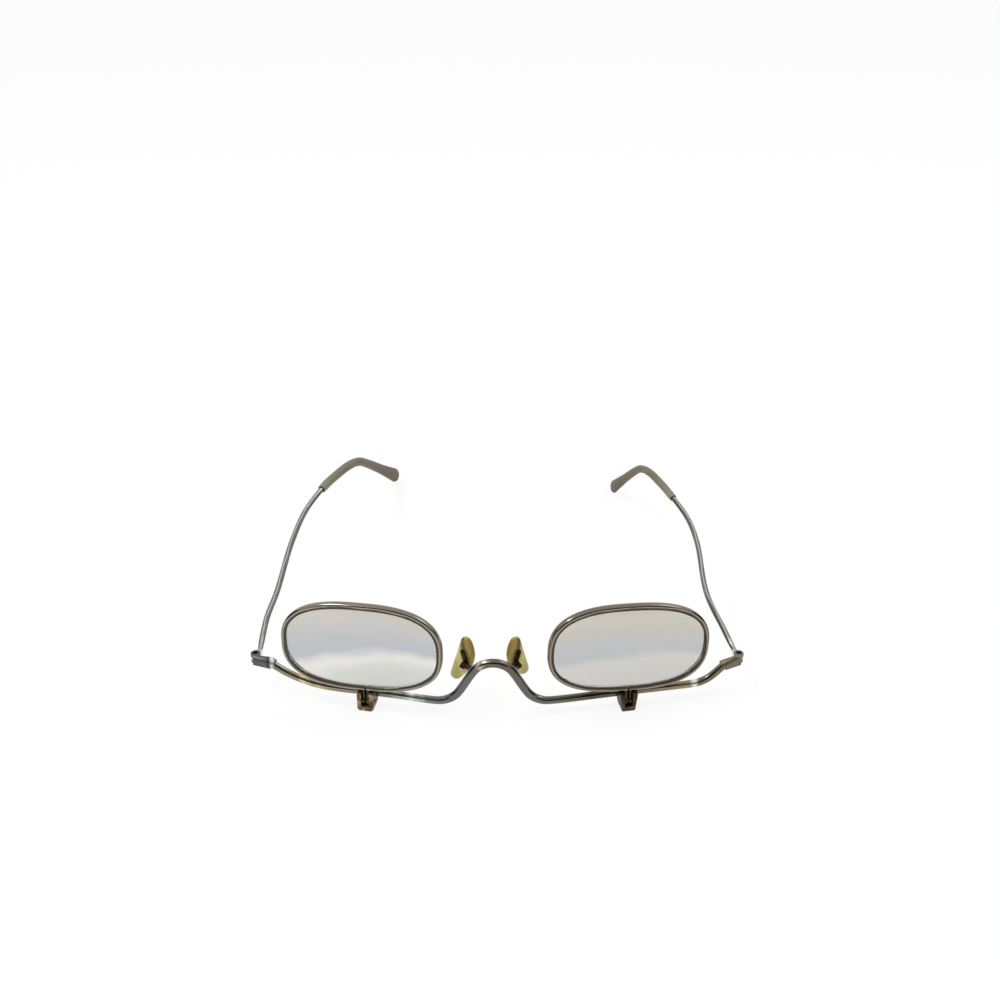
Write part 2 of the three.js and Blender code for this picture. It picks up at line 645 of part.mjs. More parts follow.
place('front_wire', frontWire(), 'nickel');
PAIRS.forEach(([name, shape, finish]) => placePair(name, shape, shape, finish));
for (const [name, right, left, finish] of NOSE_PAIRS) {
  placePair(name, right.translate([PAD_OFFSET, 0, 0]), left.translate([-PAD_OFFSET, 0, 0]), finish);
}
placePair('end_piece', endPiece(RIGHT_RISE), endPiece(LEFT_RISE), 'nickel');
placePair('rim', rim(RIGHT_LENS), rim(LEFT_LENS), 'nickel');
placePair('lens', lens(RIGHT_LENS), lens(LEFT_LENS), 'glass');
placePair('temple', temple(RIGHT_TEMPLE), temple(LEFT_TEMPLE), 'nickel');
placePair('temple_tip', templeTip(RIGHT_TEMPLE), templeTip(LEFT_TEMPLE), 'acetate');

// The origin is under the middle of the whole object, on the table
const reach = new THREE.Box3().setFromObject(glasses);
const middle = reach.getCenter(vec(0, 0, 0));
glasses.position.set(-middle.x, -middle.y, -reach.min.z);

const part = new THREE.Group();
part.add(glasses);

export default part;
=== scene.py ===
"""Makeup glasses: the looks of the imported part, built piece by piece on its fixed frame."""

import json
import logging
import math
from collections.abc import Callable, Iterable, Sequence
from dataclasses import dataclass, field
from enum import Enum

import bmesh
import bpy
from mathutils import Matrix, Vector


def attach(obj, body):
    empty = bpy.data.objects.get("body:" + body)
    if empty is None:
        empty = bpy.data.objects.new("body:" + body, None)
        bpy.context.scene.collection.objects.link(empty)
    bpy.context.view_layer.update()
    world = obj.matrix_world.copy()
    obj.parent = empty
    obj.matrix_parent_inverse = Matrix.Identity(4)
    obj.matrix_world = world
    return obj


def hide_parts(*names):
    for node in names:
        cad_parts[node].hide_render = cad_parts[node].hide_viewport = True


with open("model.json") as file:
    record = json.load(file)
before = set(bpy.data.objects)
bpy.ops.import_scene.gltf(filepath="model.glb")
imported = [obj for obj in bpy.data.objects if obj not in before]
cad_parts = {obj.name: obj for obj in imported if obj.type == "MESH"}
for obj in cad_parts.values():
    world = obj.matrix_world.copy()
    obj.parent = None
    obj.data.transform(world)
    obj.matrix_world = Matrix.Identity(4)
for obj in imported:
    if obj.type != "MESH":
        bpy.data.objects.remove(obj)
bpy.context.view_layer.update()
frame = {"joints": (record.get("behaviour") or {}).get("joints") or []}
MM = 0.001
LAY = "lay"
LOG = logging.getLogger("makeup_glasses")

Shape = bmesh.types.BMesh
Vert = bmesh.types.BMVert
Tree = bpy.types.NodeTree
Socket = bpy.types.NodeSocket
Material = bpy.types.Material
Pair = tuple[float, float]
Triple = tuple[float, float, float]
Stops = tuple[tuple[float, str], ...]
Sizes = Callable[[float], Pair]

# Points closer than this are one, in millimetres, and the same after a join or a cut
WELD = 1e-4
JOIN_WELD = 0.002
# Faces turned less than this from each other become one, in radians
FLAT = 0.01
# Ease of the ends of a round cutter, and the length that takes it through any piece
CRISP = 0.01
CUTTER = 9.0
BEND_STEPS = 4


class Side(Enum):
    """Side of the glasses as seen from the front."""

    LEFT = -1
    RIGHT = 1

    @property
    def word(self) -> str:
        """Ending of this side's piece names."""
        return self.name.lower()


class Ruler(Enum):
    """What the tone of a metal follows, besides its own patches."""

    PATCH = "nothing else"
    ACROSS = "the place across the glasses"
    SECTION = "the distance from the inner lip of a section"


class Join(Enum):
    """What a tool shape does to a solid."""

    ADD = "UNION"
    CUT = "DIFFERENCE"


def joint_place(name: str) -> Vector:
    """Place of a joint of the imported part.

    Args:
        name: The joint's name.

    Returns:
        Its point in millimetres.
    """
    found = next(j for j in frame["joints"] if j["name"] == name)
    return Vector(found["pos_m"]) / MM


HINGE = joint_place("lens_right_flip")
BARREL = joint_place("temple_right_fold")
LENS_YAW = 11.0


def home(side: Side) -> Matrix:
    """Way from a right-hand shape in millimetres to its place in the part, in metres."""
    return Matrix.Diagonal((side.value * MM, MM, MM, 1.0))


def turn(angle: float, axis: str) -> Matrix:
    """Rotation by an angle in degrees about a main axis."""
    return Matrix.Rotation(math.radians(angle), 4, axis)


def shift(*way: float) -> Matrix:
    """Move along X, Y and Z."""
    return Matrix.Translation(way)


def hinge_place() -> Matrix:
    """Frame of the right flip hinge: X along the pin, Y back, Z up."""
    return shift(*HINGE) @ turn(LENS_YAW, "Z")


# Shapes


def spline(points: Sequence[Vector], steps: int = 16) -> list[Vector]:
    """Smooth line through some points, a centripetal spline.

    Args:
        points: The points that it passes through.
        steps: Steps between two of them.

    Returns:
        The points of the smooth line.
    """
    ends = [2 * points[0] - points[1], *points, 2 * points[-1] - points[-2]]
    line: list[Vector] = []
    for a, b, c, d in zip(ends, ends[1:], ends[2:], ends[3:]):
        g, h, k = (max((q - p).length ** 0.5, WELD) for p, q in ((a, b), (b, c), (c, d)))
        into = ((b - a) / g - (c - a) / (g + h) + (c - b) / h) * h
        out = ((c - b) / h - (d - b) / (h + k) + (d - c) / k) * h
        for i in range(steps):
            t = i / steps
            bend = (3 * (c - b) - 2 * into - out) * t * t + (2 * (b - c) + into + out) * t ** 3
            line.append(b + into * t + bend)
    return [*line, points[-1].copy()]


def distances(line: Sequence[Vector]) -> list[float]:
    """Distance of each point of a line from its beginning.

    Args:
        line: The points of the line.

    Returns:
        One distance for each point.
    """
    runs = [0.0]
    for p, q in zip(line, line[1:]):
        runs.append(runs[-1] + (q - p).length)
    return runs


def even(line: Sequence[Vector], count: int, start: float = 0.0,
         stop: float = 0.0) -> list[Vector]:
    """Points at even distances along a line.

    Args:
        line: The points of the line.
        count: Number of steps.
        start: Distance from the line's beginning to the first point.
        stop: Distance from the last point to the line's end.

    Returns:
        One point more than the count.
    """
    runs = distances(line)
    found: list[Vector] = []
    at = 0
    for i in range(count + 1):
        want = start + (runs[-1] - stop - start) * i / count
        while at < len(runs) - 2 and runs[at + 1] < want:
            at += 1
        span = max(runs[at + 1] - runs[at], 1e-9)
        part = min(max((want - runs[at]) / span, 0.0), 1.0)
        found.append(line[at].lerp(line[at + 1], part))
    return found


def places_along(path: Sequence[Vector], sizes: Sizes | None = None) -> list[Matrix]:
    """Placements along a path, with Z along it and X level.

    Args:
        path: The points of the path.
        sizes: Half width and half height at a share of the path, or none for 1.

    Returns:
        One matrix for each point.
    """
    made: list[Matrix] = []
    last = len(path) - 1
    for i, point in enumerate(path):
        run = (path[min(i + 1, last)] - path[max(i - 1, 0)]).normalized()
        across = run.cross(Vector((0.0, 0.0, 1.0))).normalized()
        lift = across.cross(run)
        wide, high = sizes(i / last) if sizes else (1.0, 1.0)
        columns = Matrix((across * wide, lift * high, -run)).transposed().to_4x4()
        made.append(shift(*point) @ columns)
    return made


def new_rod() -> Shape:
    """Empty shape that can keep each vertex's place on a straight rod.

    Returns:
        The empty shape.
    """
    bm = bmesh.new()
    bm.verts.layers.float_vector.new(LAY)
    return bm


def mark(bm: Shape, spot: Callable[[Vector], Vector]) -> Shape:
    """Note on each vertex the place that its finish reads.

    Args:
        bm: The shape.
        spot: Gives that place from the vertex's own.

    Returns:
        The same shape.
    """
    lay = bm.verts.layers.float_vector.new(LAY)
    for vert in bm.verts:
        vert[lay] = spot(vert.co)
    return bm


def verts_of(geom: Iterable[object]) -> list[Vert]:
    """Vertices among some elements."""
    return [g for g in geom if isinstance(g, Vert)]


def ring_edges(verts: Sequence[Vert]) -> list[bmesh.types.BMEdge]:
    """Edges that lie between vertices of one ring."""
    inside = set(verts)
    return [e for e in {e for v in verts for e in v.link_edges} if set(e.verts) <= inside]


def sweep(bm: Shape, ring: Sequence[Vert], places: Sequence[Matrix]) -> None:
    """Carry a ring along a row of placements and close both ends.

    Each vertex keeps its place on the straight, unbent rod, so that a finish can follow the rod.

    Args:
        bm: The shape that the ring is in.
        ring: The ring, already at the first placement.
        places: The placements.
    """
    lay = bm.verts.layers.float_vector[LAY]
    back = places[0].inverted()
    for vert in ring:
        vert[lay] = back @ vert.co
    first = edges = ring_edges(ring)
    run = 0.0
    for before, after in zip(places, places[1:]):
        run += (after.translation - before.translation).length
        verts = verts_of(bmesh.ops.extrude_edge_only(bm, edges=edges)["geom"])
        bmesh.ops.transform(bm, matrix=after @ before.inverted(), verts=verts)
        for vert in verts:
            vert[lay] = Vector((vert[lay].x, vert[lay].y, run))
        edges = ring_edges(verts)
    for end in (first, edges):
        bmesh.ops.contextual_create(bm, geom=end)


def rod(path: Sequence[Vector], radius: float, sides: int = 24,
        sizes: Sizes | None = None) -> Shape:
    """Round wire along a path.

    Args:
        path: The middle line of the wire.
        radius: Half its thickness.
        sides: Facets around it.
        sizes: Width and height at a share of the path, as shares of the radius, or none for 1.

    Returns:
        The closed wire.
    """
    bm = new_rod()
    places = places_along(path, sizes)
    ring = bmesh.ops.create_circle(bm, radius=radius, segments=sides, matrix=places[0])["verts"]
    sweep(bm, ring, places)
    return bm


def placed(bm: Shape, place: Matrix) -> Shape:
    """Move a shape to its place; the same shape is returned."""
    bmesh.ops.transform(bm, matrix=place, verts=bm.verts[:])
    return bm


def turned(profile: Sequence[Pair], place: Matrix, sides: int = 40) -> Shape:
    """Piece turned about Z from a profile of radius and height.

    Args:
        profile: Points of the profile, closed or ending on the axis.
        place: Where the piece stands.
        sides: Facets around it.

    Returns:
        The turned piece.
    """
    bm = bmesh.new()
    verts = [bm.verts.new((r, 0.0, z)) for r, z in profile]
    pairs = list(zip(verts, verts[1:]))
    if profile[0][0] > 0:
        pairs.append((verts[-1], verts[0]))
    edges = [bm.edges.new(pair) for pair in pairs]
    bmesh.ops.spin(bm, geom=[*verts, *edges], axis=(0, 0, 1), cent=(0, 0, 0), angle=math.tau,
                   steps=sides, use_merge=True)
    bmesh.ops.remove_doubles(bm, verts=bm.verts[:], dist=WELD)
    bmesh.ops.recalc_face_normals(bm, faces=bm.faces[:])
    return placed(bm, place)


def slab(outline: Sequence[Pair], low: float, high: float, place: Matrix) -> Shape:
    """Plate with a given outline.

    Args:
        outline: Corners in the plane of the plate.
        low: Height of its underside.
        high: Height of its top.
        place: Where the plate lies.

    Returns:
        The closed plate.
    """
    bm = bmesh.new()
    face = bm.faces.new([bm.verts.new((x, y, low)) for x, y in outline])
    top = verts_of(bmesh.ops.extrude_face_region(bm, geom=[face])["geom"])
    bmesh.ops.translate(bm, vec=(0.0, 0.0, high - low), verts=top)
    bmesh.ops.recalc_face_normals(bm, faces=bm.faces[:])
    return placed(bm, place)


def block(low: Triple, high: Triple, place: Matrix) -> Shape:
    """Square block between two corners."""
    outline = [(low[0], low[1]), (high[0], low[1]), (high[0], high[1]), (low[0], high[1])]
    return slab(outline, low[2], high[2], place)


def pin(radius: float, length: float, place: Matrix, dome: float = 0.15) -> Shape:
    """Round pin about Z with eased ends.

    Args:
        radius: Half its thickness.
        length: Its full length, middle at the origin.
        place: Where it lies.
        dome: How far the ends are eased.

    Returns:
        The pin.
    """
    half = length / 2
    side = [(0.0, -half), (radius - dome, -half), (radius, dome - half)]
    return turned([*side, *[(r, -z) for r, z in reversed(side)]], place)


def ordered(bm: Shape) -> Shape:
    """Same shape with its points and faces in a fixed order, so that each run gives the same.

    Args:
        bm: The shape, which is used up.

    Returns:
        The ordered shape.
    """
    bm.verts.index_update()
    lay = bm.verts.layers.float_vector.get(LAY)
    made = bmesh.new() if lay is None else new_rod()
    rows = sorted((*v.co, *(v[lay] if lay else ()), v.index) for v in bm.verts)
    ranks = {row[-1]: rank for rank, row in enumerate(rows)}
    points = [made.verts.new(row[:3]) for row in rows]
    if lay:
        kept = made.verts.layers.float_vector[LAY]
        for point, row in zip(points, rows):
            point[kept] = row[3:6]
    rings = []
    for face in bm.faces:
        ring = [ranks[v.index] for v in face.verts]
        first = ring.index(min(ring))
        rings.append(ring[first:] + ring[:first])
    for ring in sorted(rings):
        made.faces.new([points[i] for i in ring])
    made.normal_update()
    bm.free()
    return made


def merge(target: Shape, *others: Shape) -> Shape:
    """Add loose shapes to one shape, which is returned.

    Args:
        target: The shape that they go into.
        others: The shapes, which are used up.

    Returns:
        The same shape.
    """
    for other in others:
        held = bpy.data.meshes.new("held")
        other.to_mesh(held)
        other.free()
        target.from_mesh(held)
        bpy.data.meshes.remove(held)
    return target


def hull(*shapes: Shape) -> Shape:
    """Tight skin around some shapes, which are used up.

    Args:
        shapes: The shapes.

    Returns:
        The skin.
    """
    bm = merge(bmesh.new(), *shapes)
    bmesh.ops.delete(bm, geom=bm.edges[:], context="EDGES_FACES")
    made = bmesh.ops.convex_hull(bm, input=bm.verts[:])
    inside = verts_of({*made["geom_interior"], *made["geom_unused"]})
    bmesh.ops.delete(bm, geom=inside, context="VERTS")
    return bm


def held_object(bm: Shape) -> bpy.types.Object:
    """Object that holds a shape while it is joined or cut.

    Args:
        bm: The shape, which is used up.

    Returns:
        The object.
    """
    bmesh.ops.recalc_face_normals(bm, faces=bm.faces[:])
    bm = ordered(bm)
    mesh = bpy.data.meshes.new("held")
    bm.to_mesh(mesh)
    bm.free()
    obj = bpy.data.objects.new("held", mesh)
    bpy.context.scene.collection.objects.link(obj)
    return obj


def combine(base: Shape, steps: Sequence[tuple[Join, Shape]]) -> Shape:
    """Join and cut a solid shape.

    Args:
        base: The shape to start from.
        steps: What each further shape does to it, in order.

    Returns:
        The finished shape.
    """
    objects = [held_object(base)]
    for join, tool in steps:
        objects.append(held_object(tool))
        modifier = objects[0].modifiers.new("join", "BOOLEAN")
        modifier.operation = join.value
        modifier.solver = "EXACT"
        modifier.object = objects[-1]
    graph = bpy.context.evaluated_depsgraph_get()
    bm = bmesh.new()
    bm.from_mesh(objects[0].evaluated_get(graph).to_mesh())
    for obj in objects:
        mesh = obj.data
        bpy.data.objects.remove(obj)
        bpy.data.meshes.remove(mesh)
    bm = ordered(bm)
    bmesh.ops.remove_doubles(bm, verts=bm.verts[:], dist=JOIN_WELD)
    bm = ordered(bm)
    bmesh.ops.dissolve_limit(bm, angle_limit=FLAT, verts=bm.verts[:], edges=bm.edges[:])
    return ordered(bm)


def cut(base: Shape, *tools: Shape) -> Shape:
    """Cut some shapes out of a solid shape."""
    return combine(base, [(Join.CUT, tool) for tool in tools])


def rounded(bm: Shape, edges: Sequence[bmesh.types.BMEdge], width: float,
            segments: int = 3) -> Shape:
    """Round some edges of a shape.

    Args:
        bm: The shape.
        edges: The edges.
        width: How far the rounding reaches from each edge.
        segments: Steps of the rounding.

    Returns:
        The same shape.
    """
    bmesh.ops.bevel(bm, geom=edges, offset=width, offset_type="OFFSET", affect="EDGES",
                    segments=segments, profile=0.5, clamp_overlap=True, material=-1)
    return bm


def ease(bm: Shape, width: float, least: float = 35.0) -> Shape:
    """Round the edges of a shape that turn by more than a least angle in degrees.

    Args:
        bm: The shape.
        width: How far the rounding reaches from each edge.
        least: The angle.

    Returns:
        The same shape.
    """
    limit = math.radians(least)
    sharp = [e for e in bm.edges if len(e.link_faces) == 2 and e.calc_face_angle() > limit]
    return rounded(bm, sharp, width)


def bridged(rows: Sequence[Sequence[Vector]]) -> Shape:
    """Skin over a row of rings with the same count, drawn together to a point at both ends.

    Args:
        rows: The rings in order.

    Returns:
        The closed skin.
    """
    bm = bmesh.new()
    loops = []
    for row in rows:
        verts = [bm.verts.new(p) for p in row]
        loops.append([bm.edges.new(pair) for pair in zip(verts, [*verts[1:], verts[0]])])
    ends = [[v for e in loop for v in e.verts] for loop in (loops[0], loops[-1])]
    for a, b in zip(loops, loops[1:]):
        bmesh.ops.bridge_loops(bm, edges=[*a, *b])
    for end in ends:
        verts = list(dict.fromkeys(end))
        middle = sum((v.co for v in verts), Vector()) / len(verts)
        bmesh.ops.pointmerge(bm, verts=verts, merge_co=middle)
    bmesh.ops.recalc_face_normals(bm, faces=bm.faces[:])
    return bm


# Finishes


def linear(colour: str) -> tuple[float, float, float, float]:
    """Linear colour of an sRGB hex value.

    Args:
        colour: Six hex digits after a hash.

    Returns:
        Red, green, blue and 1.
    """
    parts = [int(colour[i:i + 2], 16) / 255 for i in (1, 3, 5)]
    red, green, blue = [
        c / 12.92 if c <= 0.04045 else ((c + 0.055) / 1.055) ** 2.4 for c in parts]
    return red, green, blue, 1.0


def add_node(tree: Tree, kind: str, inputs: dict | None = None, stops: Stops = (),
             **settings: object) -> bpy.types.Node:
    """Add a node with its settings and links.

    Args:
        tree: The tree that it goes into.
        kind: Blender's name of the node, after the words that all shader nodes begin with.
        inputs: Value of each input, or the output that feeds it.
        stops: Positions and colours, where the node has a colour ramp.
        settings: The node's own settings.

    Returns:
        The new node.
    """
    node = tree.nodes.new(f"ShaderNode{kind}")
    for name, value in settings.items():
        setattr(node, name, value)
    for key, value in (inputs or {}).items():
        if isinstance(value, Socket):
            tree.links.new(value, node.inputs[key])
        else:
            node.inputs[key].default_value = value
    for i, (place, colour) in enumerate(stops):
        elements = node.color_ramp.elements
        element = elements[i] if i < 2 else elements.new(place)
        element.position = place
        element.color = linear(colour)
    return node


@dataclass(frozen=True)
class Finish:
    """What every finish has: a name and a surface made of nodes."""

    name: str

    def surface(self, tree: Tree) -> Socket:
        """Shader of the surface; each finish has its own."""
        raise NotImplementedError

    def build(self) -> Material:
        """Make the material.

        Returns:
            The material.
        """
        material = bpy.data.materials.new(self.name)
        material.use_nodes = True
        material.node_tree.nodes.clear()
        surface = self.surface(material.node_tree)
        add_node(material.node_tree, "OutputMaterial", {"Surface": surface})
        return material


@dataclass(frozen=True)
class NickelSilver(Finish):
    """Drawn and polished nickel silver: grey with drawing lines along it, browned in places, with
    painted highlights and painted shade in some of its tones.
    """

    stops: Stops
    ruler: Ruler = Ruler.PATCH
    span_mm: Pair = (0.0, 1.0)
    drift: float = 0.04
    rough: Pair = (0.14, 0.3)
    patch_mm: float = 6.0
    line_mm: float = 0.25
    line_stretch: float = 40.0
    line_depth_mm: float = 0.02
    grain_mm: float = 0.3

    def share(self, tree: Tree, where: Socket, lay: Socket) -> Socket:
        """Place of the tone in the colour ramp.

        Args:
            tree: The tree of the material.
            where: Place in the part, in metres.
            lay: Place on the straight rod, in millimetres.

        Returns:
            The output that gives it.
        """
        patch = add_node(tree, "TexNoise", {
            "Vector": where, "Scale": 1 / (self.patch_mm * MM), "Detail": 3.0}).outputs["Fac"]
        if self.ruler is Ruler.PATCH:
            return patch
        unit, source = (MM, where) if self.ruler is Ruler.ACROSS else (1.0, lay)
        split = add_node(tree, "SeparateXYZ", {0: source})
        place = add_node(tree, "MapRange", {
            "Value": split.outputs["X"], "From Min": self.span_mm[0] * unit,
            "From Max": self.span_mm[1] * unit})
        drift = add_node(tree, "MapRange", {
            "Value": patch, "From Min": 0.3, "From Max": 0.7,
            "To Min": -self.drift, "To Max": self.drift})
        both = add_node(tree, "Math", {0: place.outputs[0], 1: drift.outputs[0]}, operation="ADD")
        return both.outputs[0]

    def surface(self, tree: Tree) -> Socket:
        """Metal with the tone, and with drawing lines along the rod.

        Args:
            tree: The tree of the material.

        Returns:
            The output of the shader.
        """
        where = add_node(tree, "TexCoord").outputs["Object"]
        lay = add_node(tree, "Attribute", attribute_name=LAY).outputs["Vector"]
        tone = add_node(tree, "ValToRGB", {"Fac": self.share(tree, where, lay)}, self.stops)
        drawn = add_node(tree, "Mapping", {
            "Vector": lay, "Scale": (1.0, 1.0, 1 / self.line_stretch)})
        lines = add_node(tree, "TexNoise", {
            "Vector": drawn.outputs[0], "Scale": 1 / self.line_mm, "Detail": 2.0}).outputs["Fac"]
        grain = add_node(tree, "TexNoise", {
            "Vector": where, "Scale": 1 / (self.grain_mm * MM), "Detail": 4.0}).outputs["Fac"]
        both = add_node(tree, "Math", {0: lines, 1: grain}, operation="MULTIPLY")
        rough = add_node(tree, "MapRange", {
            "Value": both.outputs[0], "From Min": 0.12, "From Max": 0.42,
            "To Min": self.rough[0], "To Max": self.rough[1]})
        bump = add_node(tree, "Bump", {
            "Height": lines, "Strength": 0.08, "Distance": self.line_depth_mm * MM})
        return add_node(tree, "BsdfPrincipled", {
            "Base Color": tone.outputs["Color"], "Metallic": 1.0,
            "Roughness": rough.outputs[0], "Normal": bump.outputs["Normal"]}).outputs[0]


@dataclass(frozen=True)
class TarnishedBrass(Finish):
    """Cast brass under worn plating: dark in the hollows, bare and bright where it has rubbed."""

    stops: Stops
    patch_mm: float = 1.6
    pit_mm: float = 0.35
    pit_depth_mm: float = 0.05

    def surface(self, tree: Tree) -> Socket:
        """Pitted metal with tarnish in patches.

        Args:
            tree: The tree of the material.

        Returns:
            The output of the shader.
        """
        where = add_node(tree, "TexCoord").outputs["Object"]
        patch = add_node(tree, "TexNoise", {
            "Vector": where, "Scale": 1 / (self.patch_mm * MM), "Detail": 3.0})
        tone = add_node(tree, "ValToRGB", {"Fac": patch.outputs["Fac"]}, self.stops)
        pits = add_node(tree, "TexNoise", {
            "Vector": where, "Scale": 1 / (self.pit_mm * MM), "Detail": 3.0}).outputs["Fac"]
        rough = add_node(tree, "MapRange", {"Value": pits, "To Min": 0.28, "To Max": 0.6})
        bump = add_node(tree, "Bump", {
            "Height": pits, "Strength": 0.25, "Distance": self.pit_depth_mm * MM})
        return add_node(tree, "BsdfPrincipled", {
            "Base Color": tone.outputs["Color"], "Metallic": 1.0,
            "Roughness": rough.outputs[0], "Normal": bump.outputs["Normal"]}).outputs[0]


@dataclass(frozen=True)
class LensGlass(Finish):
    """Ground and polished crown glass, greyed, with a painted reflection in its tint: a bright arc
    low in the lens and a faint blue band above it.
    """

    stops: Stops
    reflection_centre: Pair
    reflection_reach: Pair
    cloud_mm: float = 12.0

    def surface(self, tree: Tree) -> Socket:
        """Clear glass with the grey tint and the painted reflection, whose tones are in reaches
        from its centre.

        Args:
            tree: The tree of the material.

        Returns:
            The output of the shader.
        """
        lay = add_node(tree, "Attribute", attribute_name=LAY).outputs["Vector"]
        (across, up), (wide, high) = self.reflection_centre, self.reflection_reach
        moved = add_node(tree, "Mapping", {
            "Vector": lay, "Location": (-across / wide, 0.0, -up / high),
            "Scale": (1 / wide, 0.0, 1 / high)})
        reach = add_node(tree, "VectorMath", {0: moved.outputs[0]}, operation="LENGTH")
        cloud = add_node(tree, "TexNoise", {
            "Vector": lay, "Scale": 1 / self.cloud_mm, "Detail": 1.0})
        drift = add_node(tree, "Math", {
            0: cloud.outputs["Fac"], 1: 0.5, 2: reach.outputs["Value"]}, operation="MULTIPLY_ADD")
        share = add_node(tree, "MapRange", {
            "Value": drift.outputs[0], "From Min": 0.5, "From Max": 2.5})
        tone = add_node(tree, "ValToRGB", {"Fac": share.outputs[0]}, self.stops)
        return add_node(tree, "BsdfPrincipled", {
            "Base Color": tone.outputs["Color"], "Roughness": 0.0, "IOR": 1.52,
            "Transmission Weight": 1.0}).outputs[0]


@dataclass(frozen=True)
class TipAcetate(Finish):
    """Moulded cellulose acetate: clouded beige, greener at the mouth and pinker where it ends."""

    length_mm: float
    stops: Stops = ((0.0, "#77765f"), (0.3, "#625944"), (0.6, "#564a37"), (0.85, "#534231"),
                    (1.0, "#5a4738"))
    cloud_mm: float = 4.0
    cloud_flow: float = 0.35
    rub_mm: float = 0.4

    def surface(self, tree: Tree) -> Socket:
        """Cloudy plastic whose tone changes along the tip.

        Args:
            tree: The tree of the material.

        Returns:
            The output of the shader.
        """
        lay = add_node(tree, "Attribute", attribute_name=LAY).outputs["Vector"]
        split = add_node(tree, "SeparateXYZ", {0: lay})
        flow = add_node(tree, "Mapping", {"Vector": lay, "Scale": (1.0, 1.0, self.cloud_flow)})
        cloud = add_node(tree, "TexNoise", {
            "Vector": flow.outputs[0], "Scale": 1 / self.cloud_mm, "Detail": 3.0})
        place = add_node(tree, "Math", {
            0: split.outputs["Z"], 1: 1 / self.length_mm}, operation="MULTIPLY")
        drift = add_node(tree, "MapRange", {
            "Value": cloud.outputs["Fac"], "To Min": -0.25, "To Max": 0.25})
        share = add_node(tree, "Math", {
            0: place.outputs[0], 1: drift.outputs[0]}, operation="ADD")
        tone = add_node(tree, "ValToRGB", {"Fac": share.outputs[0]}, self.stops)
        rub = add_node(tree, "TexNoise", {"Vector": lay, "Scale": 1 / self.rub_mm, "Detail": 3.0})
        rough = add_node(tree, "MapRange", {
            "Value": rub.outputs["Fac"], "To Min": 0.45, "To Max": 0.65})
        return add_node(tree, "BsdfPrincipled", {
            "Base Color": tone.outputs["Color"], "Roughness": rough.outputs[0], "IOR": 1.48,
            "Subsurface Weight": 0.15, "Subsurface Scale": 0.8 * MM}).outputs[0]


@dataclass(frozen=True)
class PadPlastic(Finish):
    """Clear moulded pad plastic gone yellow: amber on the nose, pale where light comes through,
    with a painted shadow band where the mount lies over it.
    """

    # The dark stops at 0.4 and 0.5 are a painted shadow of the mount and its box across the pad
    stops: Stops = ((0.0, "#776125"), (0.25, "#a88e40"), (0.4, "#5a4d1f"), (0.5, "#6f6230"),
                    (0.6, "#c8ba69"), (0.8, "#d9ce8a"), (1.0, "#beb26d"))
    crease: Pair = (0.82, -0.57)
    crease_shift: float = 0.5
    crease_drift: float = 1.2
    half_width_mm: float = 3.5

    def surface(self, tree: Tree) -> Socket:
        """Plastic whose tone follows the distance from the painted shadow band of the mount.

        Args:
            tree: The tree of the material.

        Returns:
            The output of the shader.
        """
        lay = add_node(tree, "Attribute", attribute_name=LAY).outputs["Vector"]
        aside = add_node(tree, "VectorMath", {0: lay, 1: (*self.crease, 0.0)},
                         operation="DOT_PRODUCT")
        cloud = add_node(tree, "TexNoise", {"Vector": lay, "Scale": 0.55, "Detail": 3.0})
        drift = add_node(tree, "MapRange", {
            "Value": cloud.outputs["Fac"], "To Min": self.crease_shift - self.crease_drift,
            "To Max": self.crease_shift + self.crease_drift})
        moved = add_node(tree, "Math", {
            0: aside.outputs["Value"], 1: drift.outputs[0]}, operation="ADD")
        share = add_node(tree, "MapRange", {
            "Value": moved.outputs[0], "From Min": -self.half_width_mm,
            "From Max": self.half_width_mm})
        tone = add_node(tree, "ValToRGB", {"Fac": share.outputs[0]}, self.stops)
        rub = add_node(tree, "TexNoise", {"Vector": lay, "Scale": 2.0, "Detail": 3.0})
        rough = add_node(tree, "MapRange", {
            "Value": rub.outputs["Fac"], "To Min": 0.18, "To Max": 0.42})
        return add_node(tree, "BsdfPrincipled", {
            "Base Color": tone.outputs["Color"], "Roughness": rough.outputs[0], "IOR": 1.5,
            "Subsurface Weight": 0.25, "Subsurface Scale": 1.0 * MM}).outputs[0]


WIRE_SPAN: Pair = (-67.0, 67.0)
# Tones across the front wire. The pale stops at 0.112, 0.325, 0.472 and 0.897 to 0.907 are painted
# highlights: bright glints on the bars and on the top of the arch.
WIRE_TONES_AND_HIGHLIGHTS: Stops = (
    (0.04, "#7d7a71"), (0.09, "#9b8f74"), (0.112, "#dacdaa"), (0.135, "#9f9274"),
    (0.23, "#77736a"), (0.3, "#757a73"), (0.325, "#d2e0d5"), (0.345, "#7b817a"),
    (0.4, "#666764"), (0.45, "#696a67"), (0.464, "#6a645d"), (0.472, "#bdb6ae"),
    (0.48, "#6c6157"), (0.53, "#695f56"), (0.56, "#686864"), (0.6, "#656661"),
    (0.62, "#6b6b58"), (0.7, "#4f4d41"), (0.8, "#776a55"), (0.885, "#988a6f"),
    (0.897, "#dedace"), (0.907, "#dedace"), (0.92, "#726859"))
# Tones across the rim's section, from the inner lip outwards. The dark band around 0.28 is painted
# shade along the lip next to the lens, and the pale stop at 0.6 is a painted highlight along the
# rim.
RIM_TONES_AND_PAINTED_LIGHT: dict[Side, Stops] = {
    Side.LEFT: ((0.0, "#6a665a"), (0.14, "#4b473b"), (0.28, "#2c2a23"), (0.4, "#716c62"),
                (0.52, "#776f62"), (0.6, "#c4bcae"), (0.68, "#776f62"), (1.0, "#827a6d")),
    Side.RIGHT: ((0.0, "#635e51"), (0.14, "#464135"), (0.28, "#2a2720"), (0.4, "#696357"),
                 (0.52, "#6d6557"), (0.6, "#bab1a2"), (0.68, "#6d6557"), (1.0, "#787062")),
}
